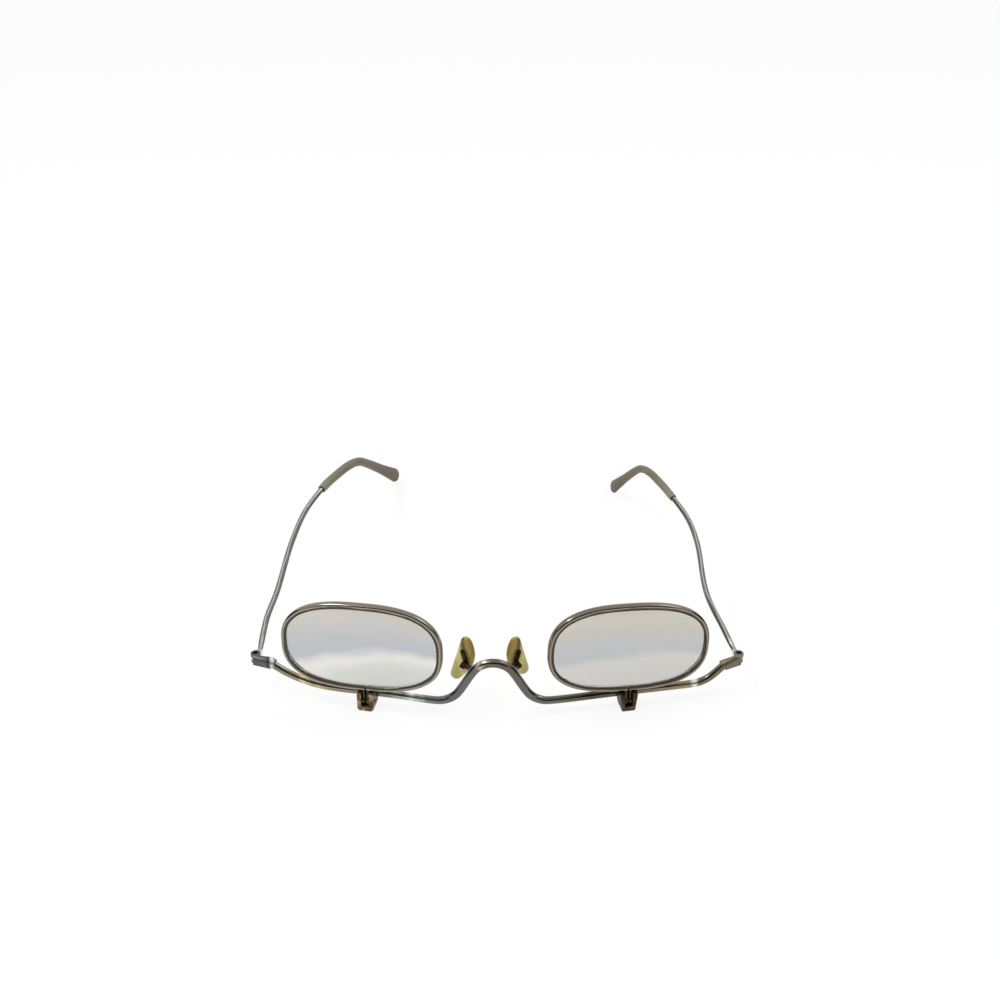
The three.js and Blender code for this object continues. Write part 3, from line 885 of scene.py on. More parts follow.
# Tones across the temple wire from side to side. The pale stop at 0.5 is a painted highlight along
# the top and underside of the wire, and the darker stops towards both sides are painted shade.
TEMPLE_TONES_AND_PAINTED_LIGHT: Stops = (
    (0.0, "#64625d"), (0.28, "#75736d"), (0.42, "#a3a19a"), (0.5, "#dddbd6"),
    (0.58, "#9a9891"), (0.72, "#65635e"), (1.0, "#75736d"))
# Tones across the glasses for the end pieces. The dark stop at 0.035 is a painted shade line on the
# left lug's collar, and the pale band from 0.0385 to 0.0435 is a painted highlight on that collar.
LUG_TONES_AND_COLLAR_GLINT: Stops = (
    (0.029, "#616463"), (0.035, "#2b2b29"), (0.0385, "#d2d0ca"), (0.0435, "#d2d0ca"),
    (0.0465, "#616463"), (1.0, "#7a7261"))
# Dark tones of the pad arms, in random patches
ARM_TONES: Stops = ((0.3, "#2a251d"), (0.55, "#484034"), (0.8, "#665c4d"))
LEFT_BRASS: Stops = ((0.3, "#443623"), (0.5, "#725f45"), (0.66, "#a9936f"))
RIGHT_BRASS: Stops = ((0.3, "#2b2014"), (0.52, "#4e4032"), (0.72, "#6e5c4b"))
PAD_BRASS: Stops = ((0.3, "#1b150d"), (0.52, "#352a1e"), (0.72, "#5a4a38"))
SCREW_TONES: Stops = ((0.3, "#171512"), (0.55, "#26231d"), (0.8, "#3a352b"))
# Grey tint of each lens with a painted reflection: the palest stops are a bright arc low in the
# lens, and the bluish ones are a band above it.
LEFT_GLASS_TINT_AND_REFLECTION: Stops = (
    (0.0, "#cbccc9"), (0.25, "#d2d2ce"), (0.38, "#e4e3dd"), (0.43, "#dcdbd7"),
    (0.5, "#b9bcc0"), (0.66, "#bcbfc1"), (0.84, "#c8c5c0"), (1.0, "#cfc9c2"))
RIGHT_GLASS_TINT_AND_REFLECTION: Stops = (
    (0.0, "#c6c5c1"), (0.4, "#cdcac6"), (0.5, "#b7bcbe"), (0.64, "#bbbebe"),
    (0.82, "#c2bfb7"), (1.0, "#cac6be"))


@dataclass
class Finishes:
    """The materials of the glasses, each made once."""

    wire: Material = field(default_factory=NickelSilver(
        "polished_nickel_silver_wire", WIRE_TONES_AND_HIGHLIGHTS, Ruler.ACROSS, WIRE_SPAN, 0.02,
        (0.1, 0.25)).build)
    rims: dict[Side, Material] = field(default_factory=lambda: {side: NickelSilver(
        f"rolled_nickel_silver_rim_{side.word}", tones, Ruler.SECTION, (0.0, 1.5), 0.1,
        (0.08, 0.2)).build() for side, tones in RIM_TONES_AND_PAINTED_LIGHT.items()})
    temple: Material = field(default_factory=NickelSilver(
        "drawn_nickel_silver_temple", TEMPLE_TONES_AND_PAINTED_LIGHT, Ruler.SECTION, (-0.85, 0.85), 0.16,
        (0.08, 0.2), 9.0).build)
    pad_arm: Material = field(default_factory=NickelSilver(
        "dark_nickel_silver_arm", ARM_TONES, patch_mm=2.0).build)
    lug: Material = field(default_factory=NickelSilver(
        "tumbled_nickel_silver_lug", LUG_TONES_AND_COLLAR_GLINT, Ruler.ACROSS, WIRE_SPAN, 0.002,
        (0.38, 0.55)).build)
    screw: Material = field(
        default_factory=TarnishedBrass("oxidised_screw_steel", SCREW_TONES).build)
    worn_brass: Material = field(default_factory=TarnishedBrass("worn_brass", LEFT_BRASS).build)
    dark_brass: Material = field(
        default_factory=TarnishedBrass("tarnished_brass", RIGHT_BRASS).build)
    pad_brass: Material = field(
        default_factory=TarnishedBrass("blackened_brass", PAD_BRASS).build)
    pad: Material = field(default_factory=PadPlastic("aged_pad_plastic").build)


@dataclass
class Piece:
    """A finished piece: the solid that it stands for, how it is made, and where it goes."""

    node: str
    form: str
    body: str
    slot: str
    material: Material

    def settle(self, bm: Shape, side: Side = Side.RIGHT, sharp: float = 38.0) -> None:
        """Turn a right-hand shape in millimetres into an object that rides on its body.

        Args:
            bm: The shape, which is used up.
            side: Side of the glasses that it goes to.
            sharp: Angle in degrees past which an edge stays crisp.
        """
        name = f"{self.node}_{self.form}"
        if bm.verts.layers.float_vector.get(LAY) is None:
            mark(bm, Vector.copy)
        placed(bm, home(side))
        bmesh.ops.recalc_face_normals(bm, faces=bm.faces[:])
        bm = ordered(bm)
        mesh = bpy.data.meshes.new(name)
        bm.to_mesh(mesh)
        bm.free()
        mesh.materials.append(self.material)
        mesh.shade_smooth()
        mesh.set_sharp_from_angle(angle=math.radians(sharp))
        obj = bpy.data.objects.new(name, mesh)
        bpy.context.scene.collection.objects.link(obj)
        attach(obj, self.body)
        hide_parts(self.node)
        LOG.info("%s: %d faces", name, len(mesh.polygons))


# Sub-assemblies, in millimetres, each shaped as the one on the right


@dataclass
class FrontWire:
    """The bent wire that carries everything: a nose arch, two bars and two rising ends."""

    finishes: Finishes
    radius: float = 1.07
    swell: float = 0.13
    swell_reach: Pair = (10.0, 15.0)
    bar_behind: float = 2.6
    bar_lift: float = 0.8
    bridge_rise: float = 12.05
    crown_radius: float = 6.4
    foot_radius: float = 6.6
    flank_turn: float = 59.0
    nose_offset: float = -1.1
    block_width: float = 5.3
    end_reach: float = 27.6
    rises: dict[Side, Triple] = field(
        default_factory=lambda: {Side.LEFT: (5.8, 32.0, 34.0), Side.RIGHT: (4.8, 9.0, 43.0)})
    steps: int = 360
    facets: int = 28

    @property
    def arch_run(self) -> float:
        """Distance from the middle of the arch to the end of its foot.

        Returns:
            The distance across.
        """
        bend = math.radians(self.flank_turn)
        both = self.crown_radius + self.foot_radius
        drop = self.bridge_rise - both * (1 - math.cos(bend))
        return both * math.sin(bend) + drop / math.tan(bend)

    @property
    def arch_back(self) -> float:
        """Place of the arch front to back.

        Returns:
            The place of its middle line.
        """
        yaw = math.radians(LENS_YAW)
        inward = (HINGE.x - self.arch_run) * math.tan(yaw)
        return HINGE.y + self.bar_behind * math.cos(yaw) - inward

    @property
    def arch_top(self) -> float:
        """Height of the middle line at the top of the arch."""
        return HINGE.z + self.bar_lift + self.bridge_rise

    def crown(self, bend: float) -> tuple[float, float]:
        """Place across and height of the middle line where the crown has turned by an angle."""
        radius = self.crown_radius
        return radius * math.sin(bend), self.arch_top - radius * (1 - math.cos(bend))

    def arch(self) -> list[Vector]:
        """Points from the top of the arch to the end of its right foot.

        Returns:
            The points of the middle line.
        """
        bends = [math.radians(self.flank_turn) * i / BEND_STEPS for i in range(BEND_STEPS + 1)]
        foot, low = self.foot_radius, self.arch_top - self.bridge_rise
        down = [(self.arch_run - foot * math.sin(a), low + foot * (1 - math.cos(a)))
                for a in reversed(bends)]
        return [Vector((x, self.arch_back, z)) for x, z in [*map(self.crown, bends), *down]]

    def end(self, side: Side, before: float) -> Vector:
        """Point of the straight rising end.

        Args:
            side: Which end.
            before: Distance before the end of the wire.

        Returns:
            The point on the right-hand shape.
        """
        rise, _, angle = self.rises[side]
        bend = math.radians(angle)
        lift = self.bar_lift + rise - before * math.sin(bend)
        across = self.end_reach - before * math.cos(bend)
        return hinge_place() @ Vector((across, self.bar_behind, lift))

    def bar(self, side: Side) -> list[Vector]:
        """Points of a bar and its rising end, from the flip hinge outwards.

        Args:
            side: Which bar.

        Returns:
            The points of the middle line, on the right-hand shape.
        """
        rise, radius, angle = self.rises[side]
        bend = math.radians(angle)
        straight = (rise - radius * (1 - math.cos(bend))) / math.sin(bend)
        start = self.end_reach - radius * math.sin(bend) - straight * math.cos(bend)
        local = [(x, self.bar_lift) for x in (-self.block_width, 0.0, self.block_width / 2)]
        for i in range(BEND_STEPS + 1):
            a = bend * i / BEND_STEPS
            local.append((start + radius * math.sin(a),
                          self.bar_lift + radius * (1 - math.cos(a))))
        points = [hinge_place() @ Vector((x, self.bar_behind, z)) for x, z in local]
        return [*points, self.end(side, straight / 2), self.end(side, 0.0)]

    def build(self) -> None:
        """Make the wire."""
        flip = Matrix.Diagonal((-1.0, 1.0, 1.0))
        arch = self.arch()
        bridge = [flip @ p for p in reversed(arch[1:])] + arch
        bridge = [p + Vector((self.nose_offset, 0.0, 0.0)) for p in bridge]
        left = [flip @ p for p in reversed(self.bar(Side.LEFT))]
        path = even(spline([*left, *bridge, *self.bar(Side.RIGHT)]), self.steps)
        full, none = self.swell_reach

        def thickness(share: float) -> Pair:
            """Thickness at a share of the wire, greatest round the nose.

            Args:
                share: Share of the wire's length.

            Returns:
                Width and height, as shares of the radius.
            """
            away = abs(path[round(share * self.steps)].x - self.nose_offset)
            part = 1 + self.swell * min(1.0, max(0.0, (none - away) / (none - full)))
            return part, part

        wire = rod(path, self.radius, self.facets, thickness)
        Piece("front_wire", "bent", "frame", "nickel", self.finishes.wire).settle(wire)


@dataclass
class FlipLens:
    """A lens in its split rim, with the two leaves that close the rim on the flip pin."""

    finishes: Finishes
    side: Side
    aside: float
    droop: float
    glass: LensGlass
    half_width: float = 20.6
    half_height: float = 11.5
    squareness: float = 2.67
    lean: float = 4.0
    rise: float = 16.14
    wall: float = 1.5
    depth: float = 2.3
    outer_round: float = 0.75
    lip_round: float = 0.2
    groove: Pair = (0.75, 0.85)
    split: float = 0.45
    leaf_thick: float = 0.75
    leaf_radius: float = 1.25
    leaf_front: float = 0.75
    leaf_back: float = 1.15
    leaf_height: float = 3.74
    # Place in the rim's tones for the leaves: a dark tone, painted shade of the bracket's slot that
    # they sit in
    leaf_shade_share: float = 0.33
    leaf_ease: float = 0.08
    bore: float = 0.66
    lens_edge: float = 1.1
    bevel: float = 0.5
    gap: float = 0.1
    front_crown: float = 1.7
    back_crown: float = 0.25
    lens_sharp: float = 25.0
    facets: int = 144
    ring_shares: tuple[float, ...] = (0.02, 0.15, 0.3, 0.45, 0.6, 0.75, 0.88, 0.96)
    rim_count: int = 220
    rim_steps: int = 3000
    outline_steps: int = 4000
    eye_steps: int = 20

    def pin_place(self) -> Matrix:
        """Frame of the leaves, leaning with the lens."""
        return hinge_place() @ turn(-self.lean, "X")

    def lens_place(self) -> Matrix:
        """Frame of the lens: X across, Y back, Z up."""
        return self.pin_place() @ shift(self.aside, 0.0, self.rise) @ turn(self.droop, "Y")

    def edge(self, t: float, grow: float) -> tuple[Vector, Vector]:
        """Point of the lens outline and its outward direction.

        Args:
            t: Angle around the outline.
            grow: Distance outwards from the visible opening.

        Returns:
            The point and the direction, in the frame of the lens.
        """
        root = 2 / self.squareness
        c, s = math.cos(t), math.sin(t)
        spot = Vector((self.half_width * math.copysign(abs(c) ** root, c), 0.0,
                       self.half_height * math.copysign(abs(s) ** root, s)))
        out = Vector((math.copysign(abs(c) ** (2 - root), c) / self.half_width, 0.0,
                      math.copysign(abs(s) ** (2 - root), s) / self.half_height)).normalized()
        return spot + out * grow, out

    def section(self) -> list[Pair]:
        """Section of the rim: distance outwards and depth, with a groove for the lens inside.

        Returns:
            The corners of the section in order.
        """
        half, big, lip = self.depth / 2, self.outer_round, self.lip_round
        deep, open_half = self.groove
        outer_step, lip_step = math.pi / 12, math.pi / 6
        corner = [(self.wall - big + big * math.sin(outer_step * i),
                   -half + big - big * math.cos(outer_step * i)) for i in range(7)]
        inner = [(lip - lip * math.sin(lip_step * i),
                  half - lip + lip * math.cos(lip_step * i)) for i in range(4)]
        back, front = ([(x, -y) for x, y in reversed(row)] for row in (corner, inner))
        groove = [(0.0, open_half), (deep, 0.0), (0.0, -open_half)]
        return [*corner, *back, *inner, *groove, *front]

    def rim_angles(self) -> list[float]:
        """Angles around the rim at even distances, from one side of the split to the other.

        Returns:
            The angles, in radians.
        """
        whole, half = self.outline_steps, self.split / 2
        way = turn(self.droop, "Y")

        def angle(step: int) -> float:
            """Angle at a step of the outline, from its lowest point."""
            return math.tau * step / whole - math.pi / 2

        def across(step: int) -> float:
            """Distance of a step of the outline from the middle of the split."""
            return (way @ self.edge(angle(step), self.wall / 2)[0]).x + self.aside

        # One side of the split is near the lowest point, the other nearly a whole turn on
        low = max(i for i in range(-whole // 8, whole // 8) if across(i) < half)
        full = min(i for i in range(whole * 9 // 10, whole) if across(low + i) > -half)
        first, reach = angle(low), math.tau * full / whole
        line = [first + reach * i / self.rim_steps for i in range(self.rim_steps + 1)]
        runs = distances([self.edge(t, 0.0)[0] for t in line])
        picked = []
        at = 0
        for i in range(self.rim_count + 1):
            while at < self.rim_steps and runs[at] < runs[-1] * i / self.rim_count:
                at += 1
            picked.append(line[at])
        return picked

    def rim_shape(self) -> Shape:
        """The rim and its leaves.

        Returns:
            The shape.
        """
        bm = new_rod()
        back = Vector((0.0, 1.0, 0.0))
        places = []
        for t in self.rim_angles():
            spot, out = self.edge(t, 0.0)
            columns = Matrix((out, back, out.cross(back))).transposed().to_4x4()
            places.append(self.lens_place() @ shift(*spot) @ columns)
        ring = [bm.verts.new(places[0] @ Vector((x, y, 0.0))) for x, y in self.section()]
        for pair in zip(ring, [*ring[1:], ring[0]]):
            bm.edges.new(pair)
        sweep(bm, ring, places)
        return merge(bm, self.leaf_shape(-1), self.leaf_shape(1))

    def leaf_shape(self, hand: int) -> Shape:
        """One leaf: a strip turned down from the rim, with an eye for the pin.

        Args:
            hand: -1 or 1, its side of the split.

        Returns:
            The leaf.
        """
        half = self.leaf_thick / 2
        place = self.pin_place() @ shift(hand * (self.split / 2 + half), 0.0, 0.0) @ turn(90, "Y")
        strip = slab(self.leaf_outline(), -half, half, place)
        leaf = ease(cut(strip, pin(self.bore, self.leaf_thick * 3, place)), self.leaf_ease)
        # The leaves read a dark tone of the rim's ramp: painted shade of the slot they sit in
        return mark(leaf, lambda _: Vector((self.leaf_shade_share, 0.0, 0.0)))

    def leaf_outline(self) -> list[Pair]:
        """Outline of a leaf, down and back from the pin.

        Returns:
            The corners in order.
        """
        radius = self.leaf_radius
        first, last = (math.atan2(y, -math.sqrt(radius ** 2 - y ** 2))
                       for y in (self.leaf_back, -self.leaf_front))
        arc = [first + (last - first) * i / self.eye_steps for i in range(self.eye_steps + 1)]
        eye = [(radius * math.cos(a), radius * math.sin(a)) for a in arc]
        return [(-self.leaf_height, self.leaf_back), *eye, (-self.leaf_height, -self.leaf_front)]

    def lens_shape(self) -> Shape:
        """The lens: a domed front, a nearly flat back and a bevel that sits in the groove.

        Returns:
            The shape.
        """
        angles = [math.tau * (i + 0.5) / self.facets for i in range(self.facets)]
        half, gap = self.lens_edge / 2, self.gap

        def row(grow: float, share: float, depth: float) -> list[Vector]:
            """Ring of the lens at one depth."""
            spots = [self.edge(t, grow)[0] * share for t in angles]
            return [spot + Vector((0.0, depth, 0.0)) for spot in spots]

        rows = [row(-gap, k, half + self.back_crown * (1 - k * k)) for k in self.ring_shares]
        rows += [row(-gap, 1.0, half), row(self.bevel, 1.0, gap), row(self.bevel, 1.0, -gap)]
        rows += [row(-gap, 1.0, -half)]
        rows += [row(-gap, k, -half - self.front_crown * (1 - k * k))
                 for k in reversed(self.ring_shares)]
        lens = mark(bridged(rows), lambda co: Vector((co.x * self.side.value, co.y, co.z)))
        return placed(lens, self.lens_place())

    def build(self) -> None:
        """Make the rim and the lens."""
        word, rim = self.side.word, self.finishes.rims[self.side]
        body = f"lens_{word}_flap"
        Piece(f"rim_{word}", "eyewire", body, "nickel", rim).settle(self.rim_shape(), self.side)
        glass = Piece(f"lens_{word}", "ground", body, "glass", self.glass.build())
        glass.settle(self.lens_shape(), self.side, self.lens_sharp)


@dataclass
class FlipHinge:
    """The bracket brazed under the front wire and the pin that the rim's leaves turn on."""

    finishes: Finishes
    side: Side
    top_width: float = 4.9
    foot_width: float = 3.8
    foot_round: float = 0.4
    foot_segments: int = 5
    front: float = 1.6
    back: float = 3.3
    heel: float = 1.0
    top: float = 2.72
    shoulder: float = 2.34
    slot_width: float = 2.15
    slot_back: float = 1.35
    slot_top: float = 4.0
    saddle: float = 1.12
    bar: Pair = (2.6, 0.8)
    pin_radius: float = 0.6
    pin_short: float = 0.5
    bore: float = 0.66
    edge_ease: float = 0.16

    def bracket_body(self) -> Shape:
        """The bracket before it is cut, narrower at its foot, which has round corners.

        Returns:
            The shape, with the pin at its origin.
        """
        low = -HINGE.z
        profile = [(-self.front, low), (self.back - self.heel, low), (self.back, low + self.heel),
                   (self.back, self.bar[1]), (self.bar[0] - self.saddle, self.top),
                   (-self.front / 2, self.top), (-self.front, self.shoulder)]
        side_on = Matrix(((0, 0, 1, 0), (1, 0, 0, 0), (0, 1, 0, 0), (0, 0, 0, 1)))
        body = slab(profile, -self.top_width / 2, self.top_width / 2, side_on)
        taper = (1 - self.foot_width / self.top_width) / (self.top - low)
        for vert in body.verts:
            vert.co.x *= 1 - taper * (self.top - vert.co.z)
        corners = [e for e in body.edges if e.verts[0].co.x * e.verts[1].co.x > 0
                   and all(v.co.z < low + WELD for v in e.verts)]
        return rounded(body, corners, self.foot_round, self.foot_segments)

    def bracket_shape(self) -> Shape:
        """The bracket, slotted for the leaves and saddled for the wire.

        Returns:
            The shape.
        """
        place, wide = hinge_place(), self.slot_width / 2
        across = turn(90, "Y")
        saddle = pin(self.saddle, CUTTER, place @ shift(0.0, *self.bar) @ across, CRISP)
        slot = block((-wide, -self.front * 2, -self.slot_back),
                     (wide, self.slot_back, self.slot_top), place)
        bore = pin(self.bore, CUTTER, place @ across, CRISP)
        body = placed(self.bracket_body(), place)
        return ease(cut(body, saddle, slot, bore), self.edge_ease)

    def build(self) -> None:
        """Make the bracket and its pin."""
        word, dark = self.side.word, self.finishes.dark_brass
        brass = self.finishes.worn_brass if self.side is Side.LEFT else dark
        bracket = Piece(f"flip_bracket_{word}", "slotted", "frame", "brass", brass)
        bracket.settle(self.bracket_shape(), self.side)
        length = self.top_width - self.pin_short
        shank = pin(self.pin_radius, length, hinge_place() @ turn(90, "Y"))
        Piece(f"flip_pin_{word}", "turned", "frame", "brass", dark).settle(shank, self.side)


@dataclass
class TempleHinge:
    """The end piece brazed on the wire: a lug with a socket, two knuckles and the hinge screw."""

    finishes: Finishes
    side: Side
    wire: FrontWire
    radius: float = 1.349
    middle: float = 1.3
    outer: float = 0.65
    run_gap: float = 0.06
    screw: float = 0.55
    head: float = 0.76
    head_height: float = 0.25
    sunk: float = 0.2
    screw_ease: float = 0.12
    head_ease: float = 0.08
    drive: Triple = (1.0, 0.11, 0.14)
    drive_over: float = 0.3
    drive_turn: float = 35.0
    socket_radius: float = 1.5
    socket_lengths: dict[Side, float] = field(
        default_factory=lambda: {Side.LEFT: 1.2, Side.RIGHT: 0.25})
    socket_floor: float = 0.6
    drill_gap: float = 0.04
    drill_before: float = 3.88
    drill_length: float = 8.0
    barrel_ease: float = 0.12
    slot_extra: float = 0.2
    root: Pair = (-2.3, -1.4)
    root_lift: float = 0.2
    shy: float = 0.9
    shoulder: Pair = (-1.0, -1.9)
    notch: Pair = (-3.4, 1.7)
    edge_ease: float = 0.1

    @property
    def stack(self) -> float:
        """Height of the three knuckles."""
        return self.middle + 2 * self.outer + 2 * self.run_gap

    def lug_shape(self, run: Matrix, far: Vector, near: Vector) -> Shape:
        """Solid of the lug, from the socket of the wire to the root of the knuckles.

        Args:
            run: Turn that takes Z along the wire.
            far: Mouth of the socket.
            near: Floor of the socket.

        Returns:
            The lug.
        """
        half, face = self.stack / 2, self.radius - self.shy
        middle = shift(*((near + far) / 2)) @ run
        socket = pin(self.socket_radius, (near - far).length, middle)
        root = block((-self.radius, self.root[0], self.root_lift - half),
                     (face, self.root[1], half), shift(*BARREL))
        return hull(socket, root)

    def end_shape(self) -> Shape:
        """The end piece.

        Returns:
            The shape.
        """
        half, gap, place = self.stack / 2, self.middle / 2 + self.run_gap, shift(*BARREL)
        far, near = (self.wire.end(self.side, at)
                     for at in (self.socket_lengths[self.side], -self.socket_floor))
        run = (near - far).normalized().to_track_quat("Z", "Y").to_matrix().to_4x4()
        shoulder = block((*self.shoulder, -half), (self.radius - self.shy, 0.0, half), place)
        barrel = pin(self.radius, self.stack, place, self.barrel_ease)
        drilled = shift(*self.wire.end(self.side, self.drill_before)) @ run
        drill = pin(self.wire.radius + self.drill_gap, self.drill_length, drilled, CRISP)
        slot = pin(self.radius + self.slot_extra, gap * 2, place, CRISP)
        inner, wide = self.notch
        notch = block((inner, -wide, -gap), (0.0, wide, gap), place)
        hole = pin(self.screw + self.run_gap, self.stack * 2, place, CRISP)
        depth = self.head_height + self.sunk
        recess = pin(self.head + self.run_gap, depth * 2, place @ shift(0.0, 0.0, half), CRISP)
        steps = [(Join.ADD, shoulder), (Join.ADD, barrel)]
        steps += [(Join.CUT, tool) for tool in (drill, slot, notch, hole, recess)]
        return ease(combine(self.lug_shape(run, far, near), steps), self.edge_ease)

    def screw_shape(self) -> Shape:
        """The hinge screw, with a slot in its sunk head.

        Returns:
            The shape.
        """
        low, high = -self.stack / 2, self.stack / 2 - self.sunk
        neck = high - self.head_height + self.run_gap
        foot, rim = self.screw_ease, self.head_ease
        profile = [(0.0, low), (self.screw - foot, low), (self.screw, low + foot),
                   (self.screw, neck), (self.head, neck), (self.head, high - rim),
                   (self.head - rim, high), (0.0, high)]
        long, wide, deep = self.drive
        slot = block((-long, -wide, high - deep), (long, wide, high + self.drive_over),
                     shift(*BARREL) @ turn(self.drive_turn, "Z"))
        return cut(turned(profile, shift(*BARREL)), slot)

    def build(self) -> None:
        """Make the end piece and its screw."""
        word = self.side.word
        lug = Piece(f"end_piece_{word}", "brazed", "frame", "nickel", self.finishes.lug)
        lug.settle(self.end_shape(), self.side)
        screw = Piece(f"hinge_screw_{word}", "slotted", "frame", "nickel", self.finishes.screw)
        screw.settle(self.screw_shape(), self.side)


@dataclass
class Temple:
    """An arm: a wire forged into a knuckle at the hinge, with a plastic tip over its bent end."""

    finishes: Finishes
    side: Side
    reach: float
    tip_length: float
    stations: tuple[Pair, ...]
    ear: Pair
    end: Pair
    radius: float = 0.85
    slope: float = 0.201
    neck: float = 2.6
    ear_bend: float = 9.0
    end_height: float = 1.26
    start_gap: float = 0.1
    core_short: float = 7.0
    forged: Pair = (0.62, 0.6)
    forged_share: float = 0.05
    wire_steps: int = 220
    wire_facets: int = 24
    barrel: float = 1.349
    knuckle: float = 1.3
    knuckle_ease: float = 0.1
    bore: float = 0.61
    tab: Pair = (0.3, 2.9)
    tab_gap: float = 0.2
    tab_ease: float = 0.2
    tip_wall: float = 0.42
    tip_lip: float = 0.12
    tip_short: float = 0.03
    tip_steps: int = 160
    tip_facets: int = 28
    mouth_steps: int = 6
    form: tuple[Triple, ...] = (
        (0.0, 0.0, 0.0), (0.03, 0.1, 0.1), (0.2, 0.12, 0.12), (0.45, 0.15, 0.15),
        (0.7, 0.15, 0.4), (0.87, 0.15, 0.9), (0.95, 0.0, 1.15), (0.99, -0.4, 0.6),
        (1.0, -0.9, -0.3))

    def on_arm(self, share: Pair) -> Vector:
        """Point of the straight part of the arm, from its shares of the reach."""
        back, inset = share
        return Vector((-inset, back, back * self.slope)) * self.reach

    def line(self) -> list[Vector]:
        """Middle line of the arm, from the knuckle to the end of the tip.

        Returns:
            The points of the line.
        """
        arm = [self.on_arm(s) for s in self.stations]
        corner = self.on_arm(self.ear)
        last = self.on_arm(self.end)
        last.z = self.end_height - BARREL.z
        into = corner + (arm[-1] - corner).normalized() * self.ear_bend
        out = corner + (last - corner).normalized() * self.ear_bend
        bend = []
        for i in range(BEND_STEPS + 1):
            t = i / BEND_STEPS
            bend.append(into * (1 - t) ** 2 + corner * 2 * t * (1 - t) + out * t * t)
        neck = [Vector((-self.barrel / 2, back, 0.0)) for back in (self.barrel, self.neck)]
        return [p + BARREL for p in spline([*neck, *arm, *bend, last])]

    def wire_size(self, share: float) -> Pair:
        """Half width and half height of the wire, flatter where it was forged at the hinge.

        Args:
            share: Share of the wire's length.

        Returns:
            Both sizes.
        """
        grown = min(share / self.forged_share, 1.0)
        grown = grown * grown * (3 - 2 * grown)
        wide, high = (size + (self.radius - size) * grown for size in self.forged)
        return wide, high

    def arm_shape(self) -> Shape:
        """The wire of the arm and its knuckle.

        Returns:
            The shape.
        """
        path = even(self.line(), self.wire_steps, self.start_gap, self.core_short)
        wire = rod(path, 1.0, self.wire_facets, self.wire_size)
        half, soft, place = self.knuckle / 2, self.knuckle_ease, shift(*BARREL)
        under = [(self.bore, -half), (self.barrel - soft, -half), (self.barrel, soft - half)]
        eye = turned([*under, *[(r, -z) for r, z in reversed(under)]], place)
        tab = block((-self.barrel, self.tab[0], -half), (0.0, self.tab[1], half), place)
        hole = pin(self.bore + self.tab_gap, CUTTER, place)
        return merge(wire, eye, ease(cut(tab, hole), self.tab_ease))

    def tip_size(self, share: float) -> Pair:
        """Half width and half height of the tip at a share of its length.

        Args:
            share: Share of the tip's length.

        Returns:
            Both sizes.
        """
        base = self.radius + self.tip_wall
        before, after = next(pair for pair in zip(self.form, self.form[1:])
                             if share <= pair[1][0])
        part = (share - before[0]) / (after[0] - before[0])
        wide, high = (base + p + (q - p) * part for p, q in zip(before[1:], after[1:]))
        return wide, high

    def tip_shape(self) -> Shape:
        """The plastic tip, open at its mouth for the wire.

        Returns:
            The shape.
        """
        line = self.line()
        start = distances(line)[-1] - self.tip_length
        path = even(line, self.tip_steps, start, self.tip_short)
        bm = rod(path, 1.0, self.tip_facets, self.tip_size)
        lay = bm.verts.layers.float_vector[LAY]
        mouth = [f for f in bm.faces
                 if len(f.verts) > 4 and all(v[lay].z < JOIN_WELD for v in f.verts)]
        bmesh.ops.inset_region(bm, faces=mouth, thickness=self.tip_wall - self.tip_lip,
                               use_even_offset=True)
        sunk = verts_of(bmesh.ops.extrude_face_region(bm, geom=mouth)["geom"])
        bmesh.ops.translate(bm, vec=path[self.mouth_steps] - path[0], verts=sunk)
        bmesh.ops.delete(bm, geom=mouth, context="FACES_ONLY")
        return bm

    def build(self) -> None:
        """Make the arm and its tip."""
        word = self.side.word
        body = f"temple_{word}_arm"
        arm = Piece(f"temple_{word}", "wire", body, "nickel", self.finishes.temple)
        arm.settle(self.arm_shape(), self.side)
        acetate = TipAcetate(f"clouded_acetate_{word}", self.tip_length).build()
        tip = Piece(f"temple_tip_{word}", "moulded", body, "tip_plastic", acetate)
        tip.settle(self.tip_shape(), self.side)


